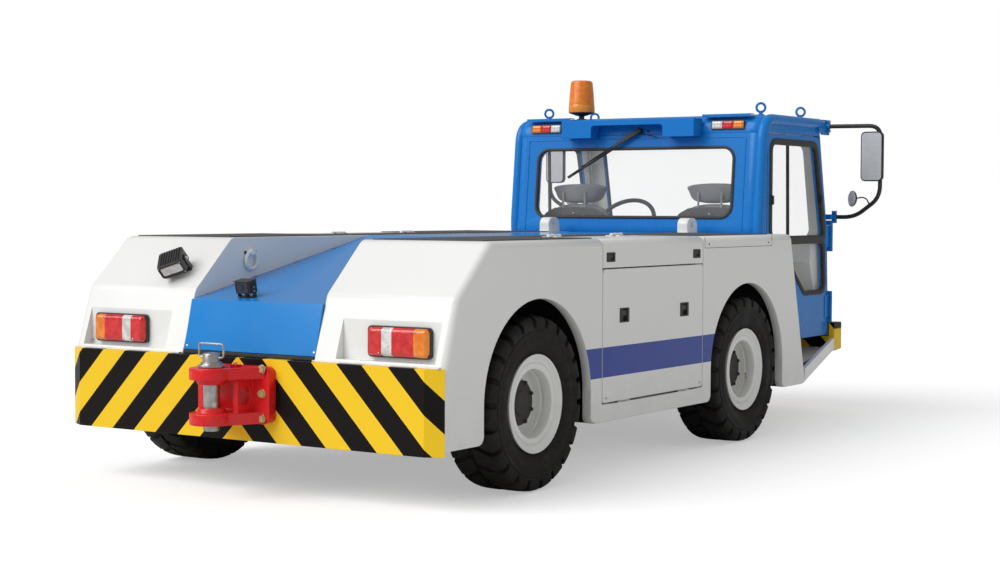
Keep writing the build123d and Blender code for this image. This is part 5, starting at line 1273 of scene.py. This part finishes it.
# small fittings of the panels: screws, seams, handle and latch trays, step treads
fittings = {
    "coverX": 0.385, "coverScrews": ((0.223, 0.910), (0.560, 0.981), (0.879, 1.048), (1.190, 1.113)),
    "coverLean": 11.8, "coverFoot": (0.063, 0.667), "footFacing": (0, -0.93, 0.37),
    "panelScrews": (0.465, 1.053), "panelPlace": (0.106, 0.664), "panelFacing": (0, -0.97, 0.24),
    "strip": (0.392, 0.047, 0.072, 0.632, 0.6475), "lip": ((0.404, 0.024, 0.630), (1.098, 0.060, 0.637)),
    "trays": (                                     # name, body, places, height, size, flange, depth, lever
        ("handleTrays", "bay_door", (1.619, 2.270), 0.790, (0.062, 0.062), (0.098, 0.074), 0.0135, 0.40),
        ("latchTrays", "bay_lid", (1.479, 2.410), 1.083, (0.060, 0.034), (0.086, 0.048), 0.0075, 0.50),
    ),
    "doorScrews": ((1.438, 0.386), (2.451, 0.386)),
    "flap": (2.507, 1.110, 3.369, 1.172), "seam": 0.0024, "flapScrew": (0.05, 0.022),
    "tread": [(0.928, 0.04), (1.062, 0.04), (0.962, 0.56), (0.928, 0.56)], "treadPlace": (3.862, 0.296),
    "treadLean": 0.1416,
}
shape = bmesh.new()
lean = radians(fittings["coverLean"])
for distance, height in fittings["coverScrews"]:
    screwPart(shape, (fittings["coverX"], back(distance), height), (0, -sin(lean), cos(lean)), 0.0075)
distance, height = fittings["coverFoot"]
screwPart(shape, (fittings["coverX"], back(distance), height), fittings["footFacing"], 0.0075)
distance, height = fittings["panelPlace"]
for x in fittings["panelScrews"]:
    screwPart(shape, (x, back(distance), height), fittings["panelFacing"], 0.006)
addPiece("panelScrews", withMirror(shape), "zinc", sharp=30)
shape = bmesh.new()
half, startY, endY, low, high = fittings["strip"]
boxPart(shape, (-half, back(startY), low), (half, back(endY), high))
addPiece("coverFootRubber", shape, "seal", edge=0.002)
shape = bmesh.new()
(start, startY, low), (end, endY, high) = fittings["lip"]
boxPart(shape, (start, back(startY), low), (end, back(endY), high))
addPiece("bumperLips", withMirror(shape), "white", edge=0.0015)


def trayPart(shape, spots, height, size, flange, depth, lever):
    width, tall = size
    loops = ((size, -depth), (size, 0.0), (flange, -0.0008), (flange, 0.0012),
             ((flange[0] - 0.003, flange[1] - 0.003), 0.0022),
             ((width - 0.001, tall - 0.001), 0.0018), ((width - 0.004, tall - 0.004), -depth))
    for distance in spots:
        plane = sidePlane(halfWidth) @ Matrix.Translation((distance, height, 0))
        rings = []
        for (loopWidth, loopTall), rise in loops:
            loop = roundedLoop(loopWidth - 0.0004, loopTall - 0.0004, 0.004, 4)
            rings.append(newRing(shape, [(x, y, rise) for x, y in loop], plane))
        loopFaces(shape, rings + rings[:1])
        slabPart(shape, roundedLoop(width - 0.002, tall - 0.002, 0.003, 4), plane, -depth, -depth + 0.0015)
        raised = plane @ Matrix.Translation((0, tall * 0.17, 0))
        slabPart(shape, roundedLoop(width * 0.82, tall * lever, 0.003, 4), raised, -depth + 0.001, -0.0012)


def doorScrewShape(shape):
    for distance, height in fittings["doorScrews"]:
        screwPart(shape, (halfWidth, back(distance), height), (1, 0, 0), 0.0065)


def flapSeamShape(shape):
    (start, foot, end, top), seam = fittings["flap"], fittings["seam"]
    seams = ((start, foot, end, foot + seam), (start, foot, start + seam, top), (end - seam, foot, end, top))
    for edges in seams:
        slabPart(shape, rect(*edges), sidePlane(halfWidth), -0.001, 0.0004)
    inward, up = fittings["flapScrew"]
    for distance in (start + inward, end - inward):
        screwPart(shape, (halfWidth, back(distance), foot + up), (1, 0, 0), 0.005)


def treadShape(shape):
    distance, height = fittings["treadPlace"]
    plane = Matrix.Translation((0, back(distance), height)) @ Matrix.Rotation(fittings["treadLean"], 4, "X")
    slabPart(shape, fittings["tread"], plane, -0.001, 0.0025)


for name, body, *values in fittings["trays"]:
    bothSides(name, lambda shape: trayPart(shape, *values), "plastic", body, sharp=40)
bothSides("doorScrews", doorScrewShape, "zinc", "bay_door", sharp=30)
bothSides("flapSeam", flapSeamShape, "seal", sharp=30)
bothSides("stepTread", treadShape, "grip", edge=0.0008)
print("small fittings made")

# floor, light and camera
studio = {"floorSize": 40.0, "floorColour": (0.74, 0.74, 0.74), "floorLift": 0.40, "worldLevel": 0.48,
          "glossLevel": 0.34, "sun": 2.1, "sunFrom": (-0.40, -0.66, 0.64), "sunSpread": 48.0}
view = {"place": (5.5784, -8.7437, 1.3247), "yaw": 33.094, "pitch": 2.298, "roll": 0.2, "lens": 65.583,
        "sensor": 36.0}


def emptyTree(owner, output):
    owner.use_nodes = True
    owner.node_tree.nodes.clear()
    made = owner.node_tree.nodes
    return owner.node_tree, made.new(output), made.new("ShaderNodeLightPath")


def inScene(name, data):
    thing = bpy.data.objects.new(name, data)
    bpy.context.scene.collection.objects.link(thing)
    return thing


def makeFloor():
    shape = bmesh.new()
    shape.faces.new(newRing(shape, [(x, y, 0) for x, y in centred(studio["floorSize"], studio["floorSize"])]))
    mesh = bpy.data.meshes.new("floor")
    shape.to_mesh(mesh)
    shape.free()
    material = bpy.data.materials.new("paleFloor")
    tree, out, path = emptyTree(material, "ShaderNodeOutputMaterial")
    flat = addNode(tree, "ShaderNodeBsdfDiffuse", Color=(*studio["floorColour"], 1))
    lift = addNode(tree, "ShaderNodeEmission", Color=(1, 1, 1, 1))
    both = tree.nodes.new("ShaderNodeAddShader")
    feed(lift, Strength=product(path.outputs["Is Camera Ray"], studio["floorLift"]))
    tree.links.new(flat.outputs[0], both.inputs[0])
    tree.links.new(lift.outputs[0], both.inputs[1])
    feed(out, Surface=both.outputs[0])
    mesh.materials.append(material)
    floor = inScene("floor", mesh)


def makeLight():
    world = bpy.data.worlds.new("studio")
    bpy.context.scene.world = world
    tree, out, path = emptyTree(world, "ShaderNodeOutputWorld")
    seen = calc("MAXIMUM", path.outputs["Is Camera Ray"], path.outputs["Is Transmission Ray"])
    gloss = product(path.outputs["Is Glossy Ray"], studio["glossLevel"] - studio["worldLevel"])
    dim = calc("ADD", gloss, studio["worldLevel"])
    glow = addNode(tree, "ShaderNodeBackground", Color=(1, 1, 1, 1))
    feed(glow, Strength=calc("ADD", product(seen, calc("SUBTRACT", 1.0, dim)), dim))
    feed(out, Surface=glow.outputs[0])
    sun = bpy.data.lights.new("key", "SUN")
    sun.energy = studio["sun"]
    sun.angle = radians(studio["sunSpread"])
    holder = inScene("key", sun)
    holder.rotation_mode = "QUATERNION"
    holder.rotation_quaternion = Vector(studio["sunFrom"]).to_track_quat("Z", "Y")


def makeCamera():
    camera = bpy.data.cameras.new("camera")
    camera.lens = view["lens"]
    camera.sensor_width = view["sensor"]
    holder = inScene("camera", camera)
    yaw, pitch, roll = (radians(view[key]) for key in ("yaw", "pitch", "roll"))
    ahead = Vector((-sin(yaw) * cos(pitch), cos(yaw) * cos(pitch), -sin(pitch)))
    right = Vector((cos(yaw), sin(yaw), 0))
    up = right.cross(ahead)
    right, up = right * cos(roll) + up * sin(roll), up * cos(roll) - right * sin(roll)
    turn = Matrix((right, up, -ahead)).transposed().to_4x4()
    holder.matrix_world = Matrix.Translation(view["place"]) @ turn
    bpy.context.scene.camera = holder


makeFloor()
makeLight()
makeCamera()
bpy.context.scene.view_settings.view_transform = "Standard"
print("studio made")
